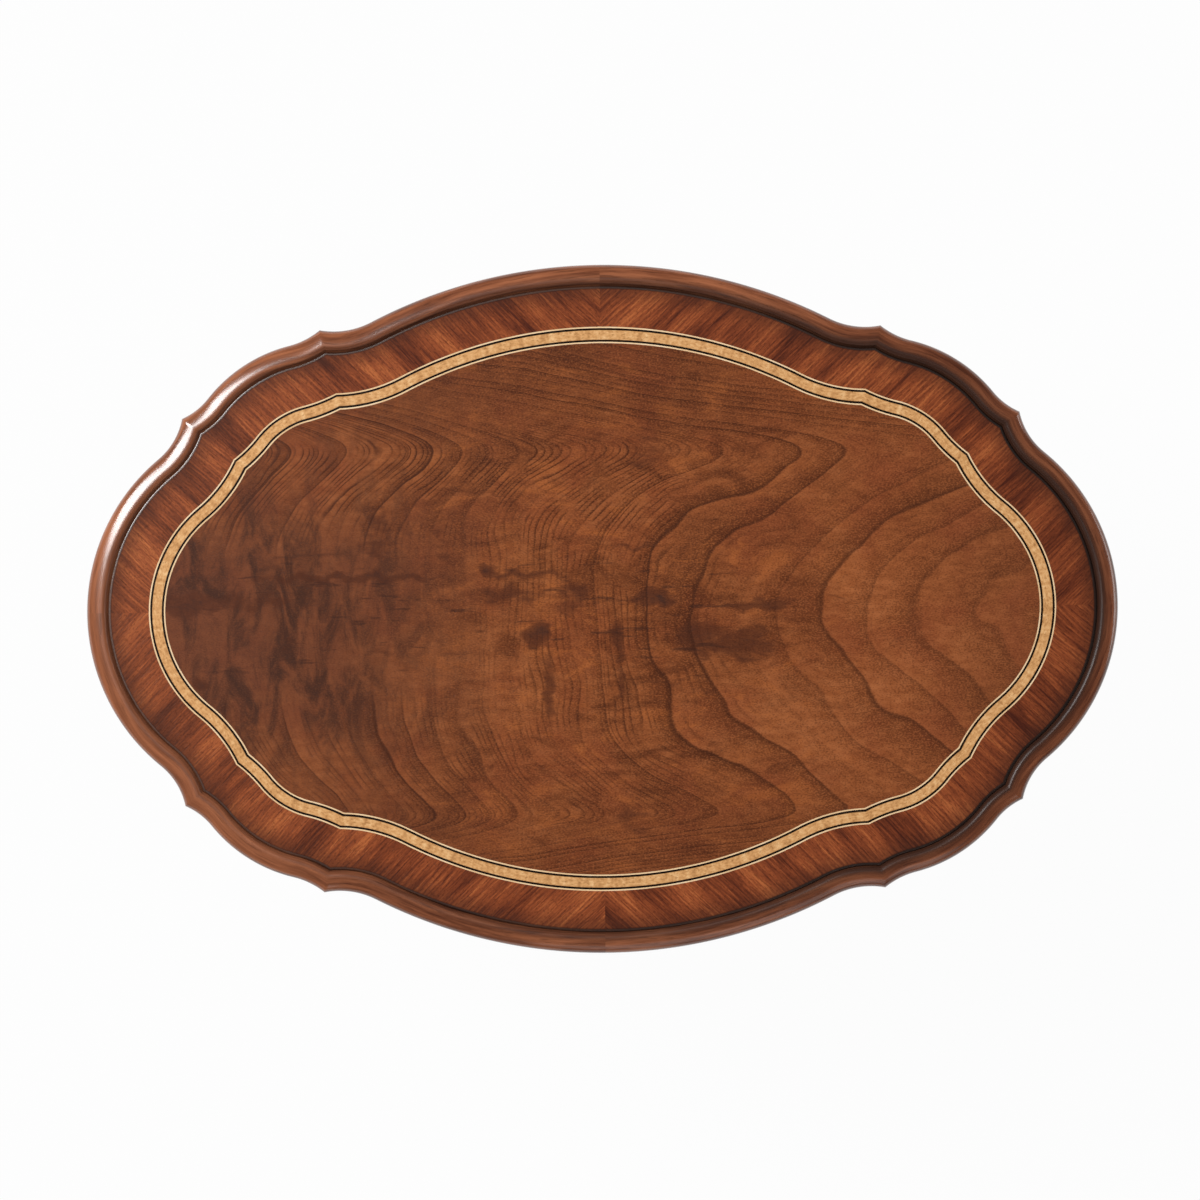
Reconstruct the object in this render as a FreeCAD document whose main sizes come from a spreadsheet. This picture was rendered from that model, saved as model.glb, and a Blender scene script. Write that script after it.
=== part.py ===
import FreeCAD, Part
from enum import IntEnum
import math
import os
import Sketcher

V = FreeCAD.Vector
UP = V(0, 0, 1)
ACROSS = V(1, 0, 0)
ALONG = V(0, 1, 0)
FRONT_VIEW = FreeCAD.Rotation(ACROSS, 90)
SIDE_VIEW = FreeCAD.Rotation(V(1, 1, 1), 120)

# Driving sizes, in millimetres. X runs along the table, Y across it, Z up from the floor.
SIZES = {
    # Plan of the top. A cusp is placed by its distance in from the end and from the long side.
    # A flare is how far a cusp stands proud of the swell or lobe beside it.
    "top_length": 686.0,
    "top_width": 458.0,
    "side_cusp_in": 156.4,
    "side_cusp_drop": 41.9,
    "end_cusp_in": 64.3,
    "end_cusp_drop": 100.1,
    "side_flare": 12.7,
    "end_flare": 13.5,
    "lobe_flare": 7.4,
    "lobe_radius": 99.7,
    "side_hollow_radius": 53.7,
    "end_hollow_radius": 46.7,
    # Heights and the layers of the top.
    "table_height": 660.0,
    "lip_rise": 2.4,
    "veneer_thickness": 1.0,
    "core_thickness": 18.0,
    "backing_thickness": 1.0,
    # Widths of what is laid round the top, from the edge inwards.
    "moulding_width": 16.0,
    "crossband_width": 25.4,
    "boxwood_width": 1.0,
    "ebony_width": 1.1,
    "satinwood_width": 6.8,
    # Section of the edge moulding: depths from its outer face, heights from the veneer's face.
    "quirk_flat": 1.2,
    "quirk_width": 1.6,
    "quirk_sink": 0.9,
    "lip_slope": 2.8,
    "crown_width": 7.8,
    "crown_fall": 2.0,
    "edge_band": 1.4,
    "under_round": 2.8,
    "under_fillet": 0.8,
    "cove_width": 6.0,
    "cove_drop": 8.0,
    "cove_radius": 9.0,
    "tongue_height": 6.0,
    "tongue_reach": 5.0,
    "tongue_clearance": 0.1,
    # Apron: it keeps the plan of the top at an even distance inside it.
    "apron_inset": 30.0,
    "apron_thickness": 20.0,
    "apron_depth": 70.0,
    "side_arch_half_span": 138.0,
    "side_arch_rise": 24.0,
    "end_arch_half_span": 62.0,
    "end_arch_rise": 15.0,
    "arch_shoulder_radius": 26.0,
    "tenon_set_in": 10.5,
    "tenon_thickness": 8.0,
    "tenon_height": 44.0,
    "tenon_length": 19.0,
    "tenon_root": 8.0,
    "tenon_clearance": 0.1,
    # Leg: reaches are measured outward from the face of the apron at the middle of a lobe.
    "post_width": 46.0,
    "post_depth": 42.0,
    "post_proud": 2.0,
    "post_front_round": 4.5,
    "post_back_round": 3.0,
    "front_round_share": 0.42,
    "back_round_share": 0.3,
    "knee_drop": 40.0,
    "knee_reach": 15.0,
    "knee_depth": 48.0,
    "knee_width": 50.0,
    "ankle_height": 112.0,
    "ankle_reach": -19.0,
    "ankle_depth": 22.0,
    "ankle_width": 23.0,
    "foot_height": 19.0,
    "foot_reach": 7.0,
    "foot_depth": 44.0,
    "foot_width": 42.0,
    "foot_under": 4.5,
    "bracket_reach": 30.0,
    "bracket_drop": 34.0,
    "bracket_toe": 3.0,
    # Corner braces, glue blocks, screws and glides.
    "brace_thickness": 22.0,
    "brace_span": 150.0,
    "brace_height": 36.0,
    "glue_block_length": 50.0,
    "glue_block_size": 18.0,
    "screw_diameter": 4.5,
    "screw_head_diameter": 9.0,
    "screw_head_height": 3.0,
    "screw_clearance": 0.1,
    "brace_screw_bite": 13.0,
    "brace_screw_spread": 22.0,
    "top_screw_bite": 12.0,
    "glide_diameter": 22.0,
    "glide_thickness": 4.0,
    "glide_edge": 1.0,
    "glide_nail_diameter": 2.4,
    "glide_nail_length": 14.0,
}

doc = FreeCAD.newDocument("accent_table")
sheet = doc.addObject("Spreadsheet::Sheet", "Sizes")
for row, (alias, millimetres) in enumerate(SIZES.items(), start=1):
    sheet.set(f"A{row}", alias)
    sheet.set(f"B{row}", str(millimetres))
    sheet.setAlias(f"B{row}", alias)
doc.recompute()


class Size:
    """A length that carries both its value and the sheet expression that gives it."""

    def __init__(self, value, text):
        self.value = value
        self.text = text

    def __add__(self, other):
        other = sized(other)
        return Size(self.value + other.value, f"({self.text} + {other.text})")

    def __sub__(self, other):
        other = sized(other)
        return Size(self.value - other.value, f"({self.text} - {other.text})")

    def __mul__(self, other):
        other = sized(other)
        return Size(self.value * other.value, f"({self.text} * {other.text})")

    def __truediv__(self, other):
        other = sized(other)
        return Size(self.value / other.value, f"({self.text} / {other.text})")

    def __neg__(self):
        return Size(-self.value, f"(0 - {self.text})")


def sized(number):
    """Return a plain number as a Size, and a Size as it is."""
    return number if isinstance(number, Size) else Size(number, f"({number})")


def cell(alias):
    """Return the size that a cell of the sheet holds."""
    return Size(float(sheet.get(alias)), f"Sizes.{alias}")


def root(size):
    """Return the square root of a size."""
    return Size(math.sqrt(size.value), f"sqrt({size.text})")


def bind(thing, name, size):
    """Tie a property of an object to the sheet."""
    thing.setExpression(name, sized(size).text)


def dimension(sketch, kind, *where, size):
    """Add a dimension to a sketch and tie it to the sheet."""
    index = sketch.addConstraint(Sketcher.Constraint(kind, *where, sized(size).value))
    bind(sketch, f"Constraints[{index}]", size)


class Spot(IntEnum):
    """Names that a sketch gives to the ends and the centre of a line or arc."""

    START = 1
    END = 2
    CENTRE = 3


class Axis(IntEnum):
    """Names that a sketch gives to its own axes."""

    LEVEL = -1
    UPRIGHT = -2


ORIGIN = (Axis.LEVEL, Spot.START)


def add_arc(sketch, centre, first, last):
    """Add the short arc from first to last and return it with the names of those two ends."""
    turn = (first - centre).cross(last - centre).z
    begin, finish = (first, last) if turn > 0 else (last, first)
    angles = [math.atan2(p.y - centre.y, p.x - centre.x) for p in (begin, finish)]
    circle = Part.Circle(centre, UP, (first - centre).Length)
    index = sketch.addGeometry(Part.ArcOfCircle(circle, *angles))
    return (index, Spot.START, Spot.END) if turn > 0 else (index, Spot.END, Spot.START)


def draw_loop(sketch, corners, arcs=None):
    """Draw a closed loop through corners (pairs of sizes), every corner placed from the origin.

    arcs maps a side's number to its radius; a minus radius puts the centre right of the travel.
    """
    arcs = arcs or {}
    points = [V(x.value, y.value, 0) for x, y in corners]
    sides = []
    for i, first in enumerate(points):
        last = points[(i + 1) % len(points)]
        if i not in arcs:
            sides.append((sketch.addGeometry(Part.LineSegment(first, last)), Spot.START, Spot.END))
            continue
        radius = arcs[i].value
        chord = last - first
        rise = math.sqrt(radius ** 2 - (chord.Length / 2) ** 2)
        left = V(-chord.y, chord.x, 0) / chord.Length
        centre = (first + last) / 2 + left * math.copysign(rise, radius)
        sides.append(add_arc(sketch, centre, first, last))
    for i, (side, head, tail) in enumerate(sides):
        after, after_head, _ = sides[(i + 1) % len(sides)]
        sketch.addConstraint(Sketcher.Constraint("Coincident", side, tail, after, after_head))
        x, y = corners[i]
        dimension(sketch, "DistanceX", *ORIGIN, side, head, size=x)
        dimension(sketch, "DistanceY", *ORIGIN, side, head, size=y)
        if i in arcs:
            length = arcs[i] if arcs[i].value > 0 else -arcs[i]
            dimension(sketch, "Radius", side, size=length)


def new_sketch(name, x, y, z, rotation):
    """Return a free sketch whose origin is tied to the sheet."""
    sketch = doc.addObject("Sketcher::SketchObject", name)
    sketch.Placement = FreeCAD.Placement(V(), rotation)
    for axis, size in zip("xyz", (x, y, z)):
        bind(sketch, f"Placement.Base.{axis}", size)
    return sketch


def body_sketch(body, name, plane, lift=0):
    """Return a sketch on one of a body's own origin planes, lifted off it by a size."""
    sketch = body.newObject("Sketcher::SketchObject", name)
    support = next(f for f in body.Origin.OriginFeatures if f.Role == plane)
    sketch.AttachmentSupport = [(support, "")]
    sketch.MapMode = "FlatFace"
    bind(sketch, "AttachmentOffset.Base.z", lift)
    return sketch


def extrusion(name, wire, direction, start, stop):
    """Extrude a closed outline along a direction between two distances from its plane."""
    solid = doc.addObject("Part::Extrusion", name)
    solid.Base = wire
    solid.DirMode = "Custom"
    solid.Dir = direction
    solid.Solid = True
    bind(solid, "LengthFwd", stop)
    bind(solid, "LengthRev", -sized(start))
    return solid


def box(name, corner, extents, turn=None):
    """Return a box with one corner and three extents tied to the sheet, turned about Z."""
    solid = doc.addObject("Part::Box", name)
    if turn is not None:
        solid.Placement = FreeCAD.Placement(V(), FreeCAD.Rotation(UP, turn.value))
        bind(solid, "Placement.Rotation.Angle", turn)
    for axis, size in zip("xyz", corner):
        bind(solid, f"Placement.Base.{axis}", size)
    for side, size in zip(("Length", "Width", "Height"), extents):
        bind(solid, side, size)
    return solid


def cut(name, base, tool):
    """Return one solid with another taken away."""
    result = doc.addObject("Part::Cut", name)
    result.Base = base
    result.Tool = tool
    return result


def common(name, base, tool):
    """Return what two solids share."""
    result = doc.addObject("Part::Common", name)
    result.Base = base
    result.Tool = tool
    return result


def fuse(name, *solids):
    """Return several solids joined into one."""
    result = doc.addObject("Part::MultiFuse", name)
    result.Shapes = list(solids)
    return result


def group(name, solids):
    """Return separate solids held in one node."""
    result = doc.addObject("Part::Compound", name)
    result.Links = list(solids)
    return result


def mirrored(name, source, normal):
    """Return a mirror image across a plane through the middle of the table."""
    result = doc.addObject("Part::Mirroring", name)
    result.Source = source
    result.Normal = normal
    return result


def to_every_corner(stem, back_right):
    """Mirror the piece of the back right corner to the other three and return all four."""
    back_left = mirrored(f"{stem}_back_left", back_right, ACROSS)
    front_right = mirrored(f"{stem}_front_right", back_right, ALONG)
    front_left = mirrored(f"{stem}_front_left", back_left, ALONG)
    return [back_right, back_left, front_right, front_left]


nodes = []

# Plan of the top. Each quarter runs from the middle of the long side to the middle of the end:
# side swell, two hollows that meet in a cusp, lobe, two hollows that meet in a cusp, end swell.
half_length = cell("top_length") / 2
half_width = cell("top_width") / 2
side_cusp = (half_length - cell("side_cusp_in"), half_width - cell("side_cusp_drop"))
end_cusp = (half_length - cell("end_cusp_in"), half_width - cell("end_cusp_drop"))


def swell_radius(reach, drop, flare):
    """Radius of a swell whose cusp lies reach along and drop down, flare outside the arc."""
    return (reach * reach + drop * drop - flare * flare) / ((flare + drop) * 2)


side_swell = swell_radius(side_cusp[0], cell("side_cusp_drop"), cell("side_flare"))
end_swell = swell_radius(end_cusp[1], cell("end_cusp_in"), cell("end_flare"))
lobe_to_cusp = cell("lobe_radius") + cell("lobe_flare")


def meeting(first, first_radius, second, second_radius):
    """Return the two points at given distances from two points."""
    line = second - first
    gap = line.Length
    along = (first_radius ** 2 - second_radius ** 2 + gap ** 2) / (2 * gap)
    aside = math.sqrt(first_radius ** 2 - along ** 2)
    foot = first + line * (along / gap)
    square = V(-line.y, line.x, 0) * (aside / gap)
    return foot + square, foot - square


def plan_quarter():
    """Return the arcs of the back right quarter, each as its centre, first and last point."""
    side_mid = V(0, half_width.value, 0)
    end_mid = V(half_length.value, 0, 0)
    side_point = V(side_cusp[0].value, side_cusp[1].value, 0)
    end_point = V(end_cusp[0].value, end_cusp[1].value, 0)
    swell, end, lobe = side_swell.value, end_swell.value, cell("lobe_radius").value
    side_hollow = cell("side_hollow_radius").value
    end_hollow = cell("end_hollow_radius").value
    side_centre = side_mid - V(0, swell, 0)
    end_centre = end_mid - V(end, 0, 0)
    far = lobe_to_cusp.value
    lobe_centre = min(meeting(side_point, far, end_point, far), key=lambda p: p.Length)
    hollows = [
        min(meeting(side_centre, swell + side_hollow, side_point, side_hollow), key=lambda p: p.x),
        max(meeting(lobe_centre, lobe + side_hollow, side_point, side_hollow), key=lambda p: p.x),
        max(meeting(lobe_centre, lobe + end_hollow, end_point, end_hollow), key=lambda p: p.y),
        min(meeting(end_centre, end + end_hollow, end_point, end_hollow), key=lambda p: p.y),
    ]
    bearers = [(side_centre, swell), (lobe_centre, lobe), (lobe_centre, lobe), (end_centre, end)]
    touches = [c + (h - c) * (r / (h - c).Length) for (c, r), h in zip(bearers, hollows)]
    return [
        (side_centre, side_mid, touches[0]),
        (hollows[0], touches[0], side_point),
        (hollows[1], side_point, touches[1]),
        (lobe_centre, touches[1], touches[2]),
        (hollows[2], touches[2], end_point),
        (hollows[3], end_point, touches[3]),
        (end_centre, touches[3], end_mid),
    ]


# Places of the arcs in a quarter, of the parts of an arc's record, and the quarters by whether
# they are flipped in X and in Y.
SIDE, SIDE_HOLLOW, NEAR_HOLLOW, LOBE, FAR_HOLLOW, END_HOLLOW, TIP = range(7)
ARC, HEAD, TAIL = range(3)
BACK_RIGHT = (False, False)
BACK_LEFT = (True, False)
FRONT_RIGHT = (False, True)
FRONT_LEFT = (True, True)


def draw_plan(sketch):
    """Draw the closed plan: one dimensioned quarter, and three that are held symmetrical to it."""
    def rule(kind, *where):
        sketch.addConstraint(Sketcher.Constraint(kind, *where))

    quarters = {}
    for flip_x, flip_y in (BACK_RIGHT, BACK_LEFT, FRONT_RIGHT, FRONT_LEFT):
        arcs = []
        for arc in plan_quarter():
            flipped = [V(-p.x if flip_x else p.x, -p.y if flip_y else p.y, 0) for p in arc]
            arcs.append(add_arc(sketch, *flipped))
        quarters[flip_x, flip_y] = arcs
        for i, (arc, after) in enumerate(zip(arcs, arcs[1:])):
            kind = "Coincident" if i in (SIDE_HOLLOW, FAR_HOLLOW) else "Tangent"
            rule(kind, arc[ARC], arc[TAIL], after[ARC], after[HEAD])

    master = quarters[BACK_RIGHT]
    side, side_hollow, lobe, far_hollow, tip = [master[i] for i in (SIDE, SIDE_HOLLOW, LOBE, FAR_HOLLOW, TIP)]
    for corner, (x, y) in ((side_hollow, side_cusp), (far_hollow, end_cusp)):
        dimension(sketch, "DistanceX", *ORIGIN, corner[ARC], corner[TAIL], size=x)
        dimension(sketch, "DistanceY", *ORIGIN, corner[ARC], corner[TAIL], size=y)
        dimension(sketch, "Distance", lobe[ARC], Spot.CENTRE, corner[ARC], corner[TAIL], size=lobe_to_cusp)
    dimension(sketch, "Radius", side[ARC], size=side_swell)
    dimension(sketch, "Radius", tip[ARC], size=end_swell)
    dimension(sketch, "Radius", lobe[ARC], size=cell("lobe_radius"))
    dimension(sketch, "Radius", side_hollow[ARC], size=cell("side_hollow_radius"))
    dimension(sketch, "Radius", far_hollow[ARC], size=cell("end_hollow_radius"))
    dimension(sketch, "DistanceY", *ORIGIN, side[ARC], side[HEAD], size=half_width)
    dimension(sketch, "DistanceX", *ORIGIN, tip[ARC], tip[TAIL], size=half_length)
    for arc, middle, axis in ((side, side[HEAD], Axis.UPRIGHT), (tip, tip[TAIL], Axis.LEVEL)):
        rule("PointOnObject", arc[ARC], middle, axis)
        rule("PointOnObject", arc[ARC], Spot.CENTRE, axis)

    for arcs in quarters.values():
        for i, like in ((SIDE_HOLLOW, side_hollow), (NEAR_HOLLOW, side_hollow)):
            if arcs[i] != like:
                rule("Equal", arcs[i][ARC], like[ARC])
        for i, like in ((FAR_HOLLOW, far_hollow), (END_HOLLOW, far_hollow)):
            if arcs[i] != like:
                rule("Equal", arcs[i][ARC], like[ARC])
    copies = (
        (BACK_RIGHT, BACK_LEFT, Axis.UPRIGHT),
        (BACK_RIGHT, FRONT_RIGHT, Axis.LEVEL),
        (BACK_LEFT, FRONT_LEFT, Axis.LEVEL),
    )
    for source, copy, axis in copies:
        old, new = quarters[source], quarters[copy]
        for i in (SIDE_HOLLOW, FAR_HOLLOW):
            rule("Symmetric", old[i][ARC], old[i][TAIL], new[i][ARC], new[i][TAIL], axis)
        rule("Symmetric", old[LOBE][ARC], Spot.CENTRE, new[LOBE][ARC], Spot.CENTRE, axis)
        rule("Equal", old[LOBE][ARC], new[LOBE][ARC])
    across = ((SIDE, HEAD, FRONT_RIGHT, Axis.LEVEL), (TIP, TAIL, BACK_LEFT, Axis.UPRIGHT))
    for i, middle, copy, axis in across:
        old, new = master[i], quarters[copy][i]
        rule("Symmetric", old[ARC], old[middle], new[ARC], new[middle], axis)
        rule("Symmetric", old[ARC], Spot.CENTRE, new[ARC], Spot.CENTRE, axis)
    halves = (
        (SIDE, HEAD, BACK_RIGHT, BACK_LEFT),
        (SIDE, HEAD, FRONT_RIGHT, FRONT_LEFT),
        (TIP, TAIL, BACK_RIGHT, FRONT_RIGHT),
        (TIP, TAIL, BACK_LEFT, FRONT_LEFT),
    )
    for i, middle, one, two in halves:
        first, second = quarters[one][i], quarters[two][i]
        rule("Coincident", first[ARC], first[middle], second[ARC], second[middle])
        rule("Coincident", first[ARC], Spot.CENTRE, second[ARC], Spot.CENTRE)


# Heights of the layers, from the face of the veneer down. The plan is drawn on that face.
surface = cell("table_height") - cell("lip_rise")
core_top = surface - cell("veneer_thickness")
core_base = core_top - cell("core_thickness")
underside = core_base - cell("backing_thickness")
apron_base = underside - cell("apron_depth")
plan = new_sketch("top_plan", 0, 0, surface, FreeCAD.Rotation())
draw_plan(plan)
doc.recompute()


def inset(name, depth):
    """Return the plan moved inward by an even distance."""
    wire = doc.addObject("Part::Offset2D", name)
    wire.Source = plan
    wire.Join = "Intersection"
    bind(wire, "Value", -depth)
    return wire


def plate(name, edge, base, top):
    """Return a board of the plan, or of an inset of it, between two heights."""
    return extrusion(name, edge, UP, base - surface, top - surface)


# Core board with a tongue round its edge, and the balancing veneer glued under it.
board_depth = cell("moulding_width")
board_edge = inset("board_edge", board_depth)
board = plate("board", board_edge, core_base, core_top)
tongue_edge = inset("tongue_edge", board_depth - cell("tongue_reach"))
tongue_base = core_base + (cell("core_thickness") - cell("tongue_height")) / 2
tongue = plate("tongue", tongue_edge, tongue_base, tongue_base + cell("tongue_height"))
core_blank = fuse("core_blank", board, tongue)
backing_blank = plate("backing_blank", board_edge, underside, core_base)

# Face veneers: crossbanding, five inlaid lines and the centre panel, laid edge to edge.
layers = [
    ("crossband", cell("crossband_width")),
    ("boxwood_string_outer", cell("boxwood_width")),
    ("ebony_string_outer", cell("ebony_width")),
    ("satinwood_band", cell("satinwood_width")),
    ("ebony_string_inner", cell("ebony_width")),
    ("boxwood_string_inner", cell("boxwood_width")),
]
depth = board_depth
outer = plate("face_sheet", board_edge, core_top, surface)
quadrant = box("back_right_quadrant", (0, 0, 0), (half_length, half_width, cell("table_height")))
for name, width in layers:
    depth = depth + width
    inner = plate(f"inside_{name}", inset(f"{name}_inner_edge", depth), core_top, surface)
    if name == "crossband":
        ring = cut("crossband_ring", outer, inner)
        nodes += to_every_corner("crossband", common("crossband_back_right", ring, quadrant))
    else:
        nodes.append(cut(name, outer, inner))
    outer = inner
outer.Label = "centre_veneer"
nodes.append(outer)

# Edge moulding. Its section stands at the middle of the end: quirk, slope up to the lip, crown,
# nose, edge, and a cove underneath, with a groove at the back for the core's tongue.
section = new_sketch("moulding_section", half_length, 0, surface, FRONT_VIEW)
wide = cell("moulding_width")
quirk_edge = wide - cell("quirk_flat")
quirk_foot = quirk_edge - cell("quirk_width")
lip = quirk_foot - cell("lip_slope")
crown_foot = lip - cell("crown_width")
crown_low = cell("lip_rise") - cell("crown_fall")


def level_radius(run, fall):
    """Radius of an arc that starts level and falls by a given amount over a given run."""
    return (run * run + fall * fall) / (fall * 2)


# The lip's slope and the crown both start level at the lip; the nose carries the crown's slope on
# until it stands upright at the edge.
lip_radius = level_radius(cell("lip_slope"), cell("lip_rise"))
crown_radius = level_radius(cell("crown_width"), cell("crown_fall"))
nose_radius = crown_foot * crown_radius / (crown_radius - cell("crown_width"))
nose_drop = nose_radius * (crown_radius - cell("crown_fall")) / crown_radius
nose_low = crown_low - nose_drop
edge_low = nose_low - cell("edge_band")
round_low = edge_low - cell("under_round")
cove_edge = cell("under_round") + cell("under_fillet")
cove_foot = cove_edge + cell("cove_width")
cove_low = round_low - cell("cove_drop")
moulding_base = underside - surface
groove_back = wide - cell("tongue_reach") - cell("tongue_clearance")
groove_low = tongue_base - surface - cell("tongue_clearance")
groove_high = tongue_base + cell("tongue_height") - surface + cell("tongue_clearance")
zero = sized(0)
section_points = [
    (-wide, zero),
    (-quirk_edge, zero),
    (-(quirk_edge + quirk_foot) / 2, -cell("quirk_sink")),
    (-quirk_foot, zero),
    (-lip, cell("lip_rise")),
    (-crown_foot, crown_low),
    (zero, nose_low),
    (zero, edge_low),
    (-cell("under_round"), round_low),
    (-cove_edge, round_low),
    (-cove_foot, cove_low),
    (-cove_foot, moulding_base),
    (-wide, moulding_base),
    (-wide, groove_low),
    (-groove_back, groove_low),
    (-groove_back, groove_high),
    (-wide, groove_high),
]
section_arcs = {
    3: -lip_radius,
    4: -crown_radius,
    5: -nose_radius,
    7: -cell("under_round"),
    9: cell("cove_radius"),
}
draw_loop(section, section_points, section_arcs)
doc.recompute()
quarter_edges = []
for number, edge in enumerate(plan.Shape.Edges, start=1):
    middle = edge.CenterOfMass
    if middle.x > 0 and middle.y > 0:
        quarter_edges.append(f"Edge{number}")
moulding = doc.addObject("Part::Sweep", "edge_moulding_back_right")
moulding.Sections = [section]
moulding.Spine = (plan, quarter_edges)
moulding.Solid = True
moulding.Transition = "Right corner"
nodes += to_every_corner("edge_moulding", moulding)

# Legs stand under the lobes. Their frame has its origin on the apron's face at the middle of the
# lobe, X pointing outward along the lobe's own axis and Y along the apron towards the long side.
cusp_run = cell("side_cusp_in") - cell("end_cusp_in")
cusp_fall = cell("end_cusp_drop") - cell("side_cusp_drop")
cusp_chord = root(cusp_run * cusp_run + cusp_fall * cusp_fall)
out_x = cusp_fall / cusp_chord
out_y = cusp_run / cusp_chord
lobe_back = root(lobe_to_cusp * lobe_to_cusp - cusp_chord * cusp_chord / 4)
leg_out = cell("lobe_radius") - cell("apron_inset") - lobe_back
leg_x = (side_cusp[0] + end_cusp[0]) / 2 + out_x * leg_out
leg_y = (side_cusp[1] + end_cusp[1]) / 2 + out_y * leg_out
turn_degrees = math.degrees(math.atan2(cusp_run.value, cusp_fall.value))
leg_turn = Size(turn_degrees, f"atan2({cusp_run.text}; {cusp_fall.text})")


def leg_point(reach, aside):
    """Return the place on the plan of a point in the leg's frame."""
    reach, aside = sized(reach), sized(aside)
    return leg_x + out_x * reach - out_y * aside, leg_y + out_y * reach + out_x * aside


def leg_body(name, reach=0, aside=0, height=0):
    """Return an empty body that stands in the leg's frame."""
    body = doc.addObject("PartDesign::Body", name)
    body.Placement = FreeCAD.Placement(V(), FreeCAD.Rotation(UP, leg_turn.value))
    bind(body, "Placement.Rotation.Angle", leg_turn)
    for axis, size in zip("xyz", (*leg_point(reach, aside), height)):
        bind(body, f"Placement.Base.{axis}", size)
    return body


def leg_box(name, reach, aside, height, extents):
    """Return a box whose low corner and sides lie in the leg's frame."""
    return box(name, (*leg_point(reach, aside), height), extents, leg_turn)


def pad(body, sketch, length):
    """Raise a sketch into a solid along its normal."""
    feature = body.newObject("PartDesign::Pad", f"{sketch.Name}_pad")
    feature.Profile = sketch
    bind(feature, "Length", length)
    sketch.Visibility = False
    return feature


def pocket(body, sketch, length=None):
    """Cut a sketch out of a body along its normal, or right through it both ways."""
    feature = body.newObject("PartDesign::Pocket", f"{sketch.Name}_pocket")
    feature.Profile = sketch
    if length is None:
        feature.Type = "ThroughAll"
        feature.SideType = "Symmetric"
    else:
        feature.Reversed = True
        bind(feature, "Length", length)
    return feature


def draw_circle(sketch, x, y, diameter):
    """Draw a circle placed from the sketch's origin."""
    place = V(sized(x).value, sized(y).value, 0)
    index = sketch.addGeometry(Part.Circle(place, UP, diameter.value / 2))
    dimension(sketch, "DistanceX", *ORIGIN, index, Spot.CENTRE, size=x)
    dimension(sketch, "DistanceY", *ORIGIN, index, Spot.CENTRE, size=y)
    dimension(sketch, "Diameter", index, size=diameter)


def draw_leg_section(sketch, reach, deep, wide, front_round, back_round):
    """Draw a level section of the leg: a rectangle with rounder corners at the front."""
    back = reach - deep
    side = wide / 2
    corners = [
        (reach, side - front_round),
        (reach - front_round, side),
        (back + back_round, side),
        (back, side - back_round),
        (back, -(side - back_round)),
        (back + back_round, -side),
        (reach - front_round, -side),
        (reach, -(side - front_round)),
    ]
    draw_loop(sketch, corners, {0: front_round, 2: back_round, 4: back_round, 6: front_round})


def station(name, high):
    """Return the height and section sizes of the leg where its curve turns."""
    reach, deep, wide = [cell(f"{name}_{size}") for size in ("reach", "depth", "width")]
    return high, reach, deep, wide, wide * cell("front_round_share"), wide * cell("back_round_share")


def between(first, second, steps):
    """Return stations spaced evenly down from one to another, their sizes eased at both ends."""
    result = []
    for step in range(1, steps + 1):
        share = step / (steps + 1)
        ease = (1 - math.cos(math.pi * share)) / 2
        shares = [share] + [ease] * (len(first) - 1)
        result.append([a + (b - a) * round(part, 6) for a, b, part in zip(first, second, shares)])
    return result


# The leg is a straight post in the apron, and below it an S curve that turns at the knee, the
# ankle and the swell of the pad foot. Its skin is ruled between level sections that lie close.
post_back = cell("post_proud") - cell("post_depth")
post = (
    apron_base,
    cell("post_proud"),
    cell("post_depth"),
    cell("post_width"),
    cell("post_front_round"),
    cell("post_back_round"),
)
foot_base = cell("glide_thickness")
under = cell("foot_under")
knee = station("knee", apron_base - cell("knee_drop"))
ankle = station("ankle", cell("ankle_height"))
foot = station("foot", cell("foot_height"))
sole = (
    foot_base,
    cell("foot_reach") - under,
    cell("foot_depth") - under * 2,
    cell("foot_width") - under * 2,
    foot[4] - under,
    foot[5] - under,
)
curve_stations = [
    post,
    *between(post, knee, 2),
    knee,
    *between(knee, ankle, 14),
    ankle,
    *between(ankle, foot, 8),
    foot,
    sole,
]
leg = leg_body("leg_back_right")
post_section = body_sketch(leg, "leg_post", "XY_Plane", apron_base)
draw_leg_section(post_section, *post[1:])
pad(leg, post_section, cell("apron_depth"))
leg_sections = []
for number, (high, *sizes) in enumerate(curve_stations):
    level = body_sketch(leg, f"leg_level_{number}", "XY_Plane", high)
    draw_leg_section(level, *sizes)
    leg_sections.append(level)
curve = leg.newObject("PartDesign::AdditiveLoft", "leg_curve")
curve.Profile = leg_sections[0]
curve.Sections = leg_sections[1:]
curve.Ruled = True

# Each rail's tenon enters the post from its side; the two mortises meet in the middle.
tenon_low = apron_base + (cell("apron_depth") - cell("tenon_height")) / 2
tenon_front = -cell("tenon_set_in")
tenon_back = tenon_front - cell("tenon_thickness")
slack = cell("tenon_clearance")
mortise = body_sketch(leg, "mortise", "XZ_Plane")
mortise_top = tenon_low + cell("tenon_height") + slack
draw_loop(mortise, [
    (tenon_back - slack, tenon_low - slack),
    (tenon_front + slack, tenon_low - slack),
    (tenon_front + slack, mortise_top),
    (tenon_back - slack, mortise_top),
])
pocket(leg, mortise)

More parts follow.
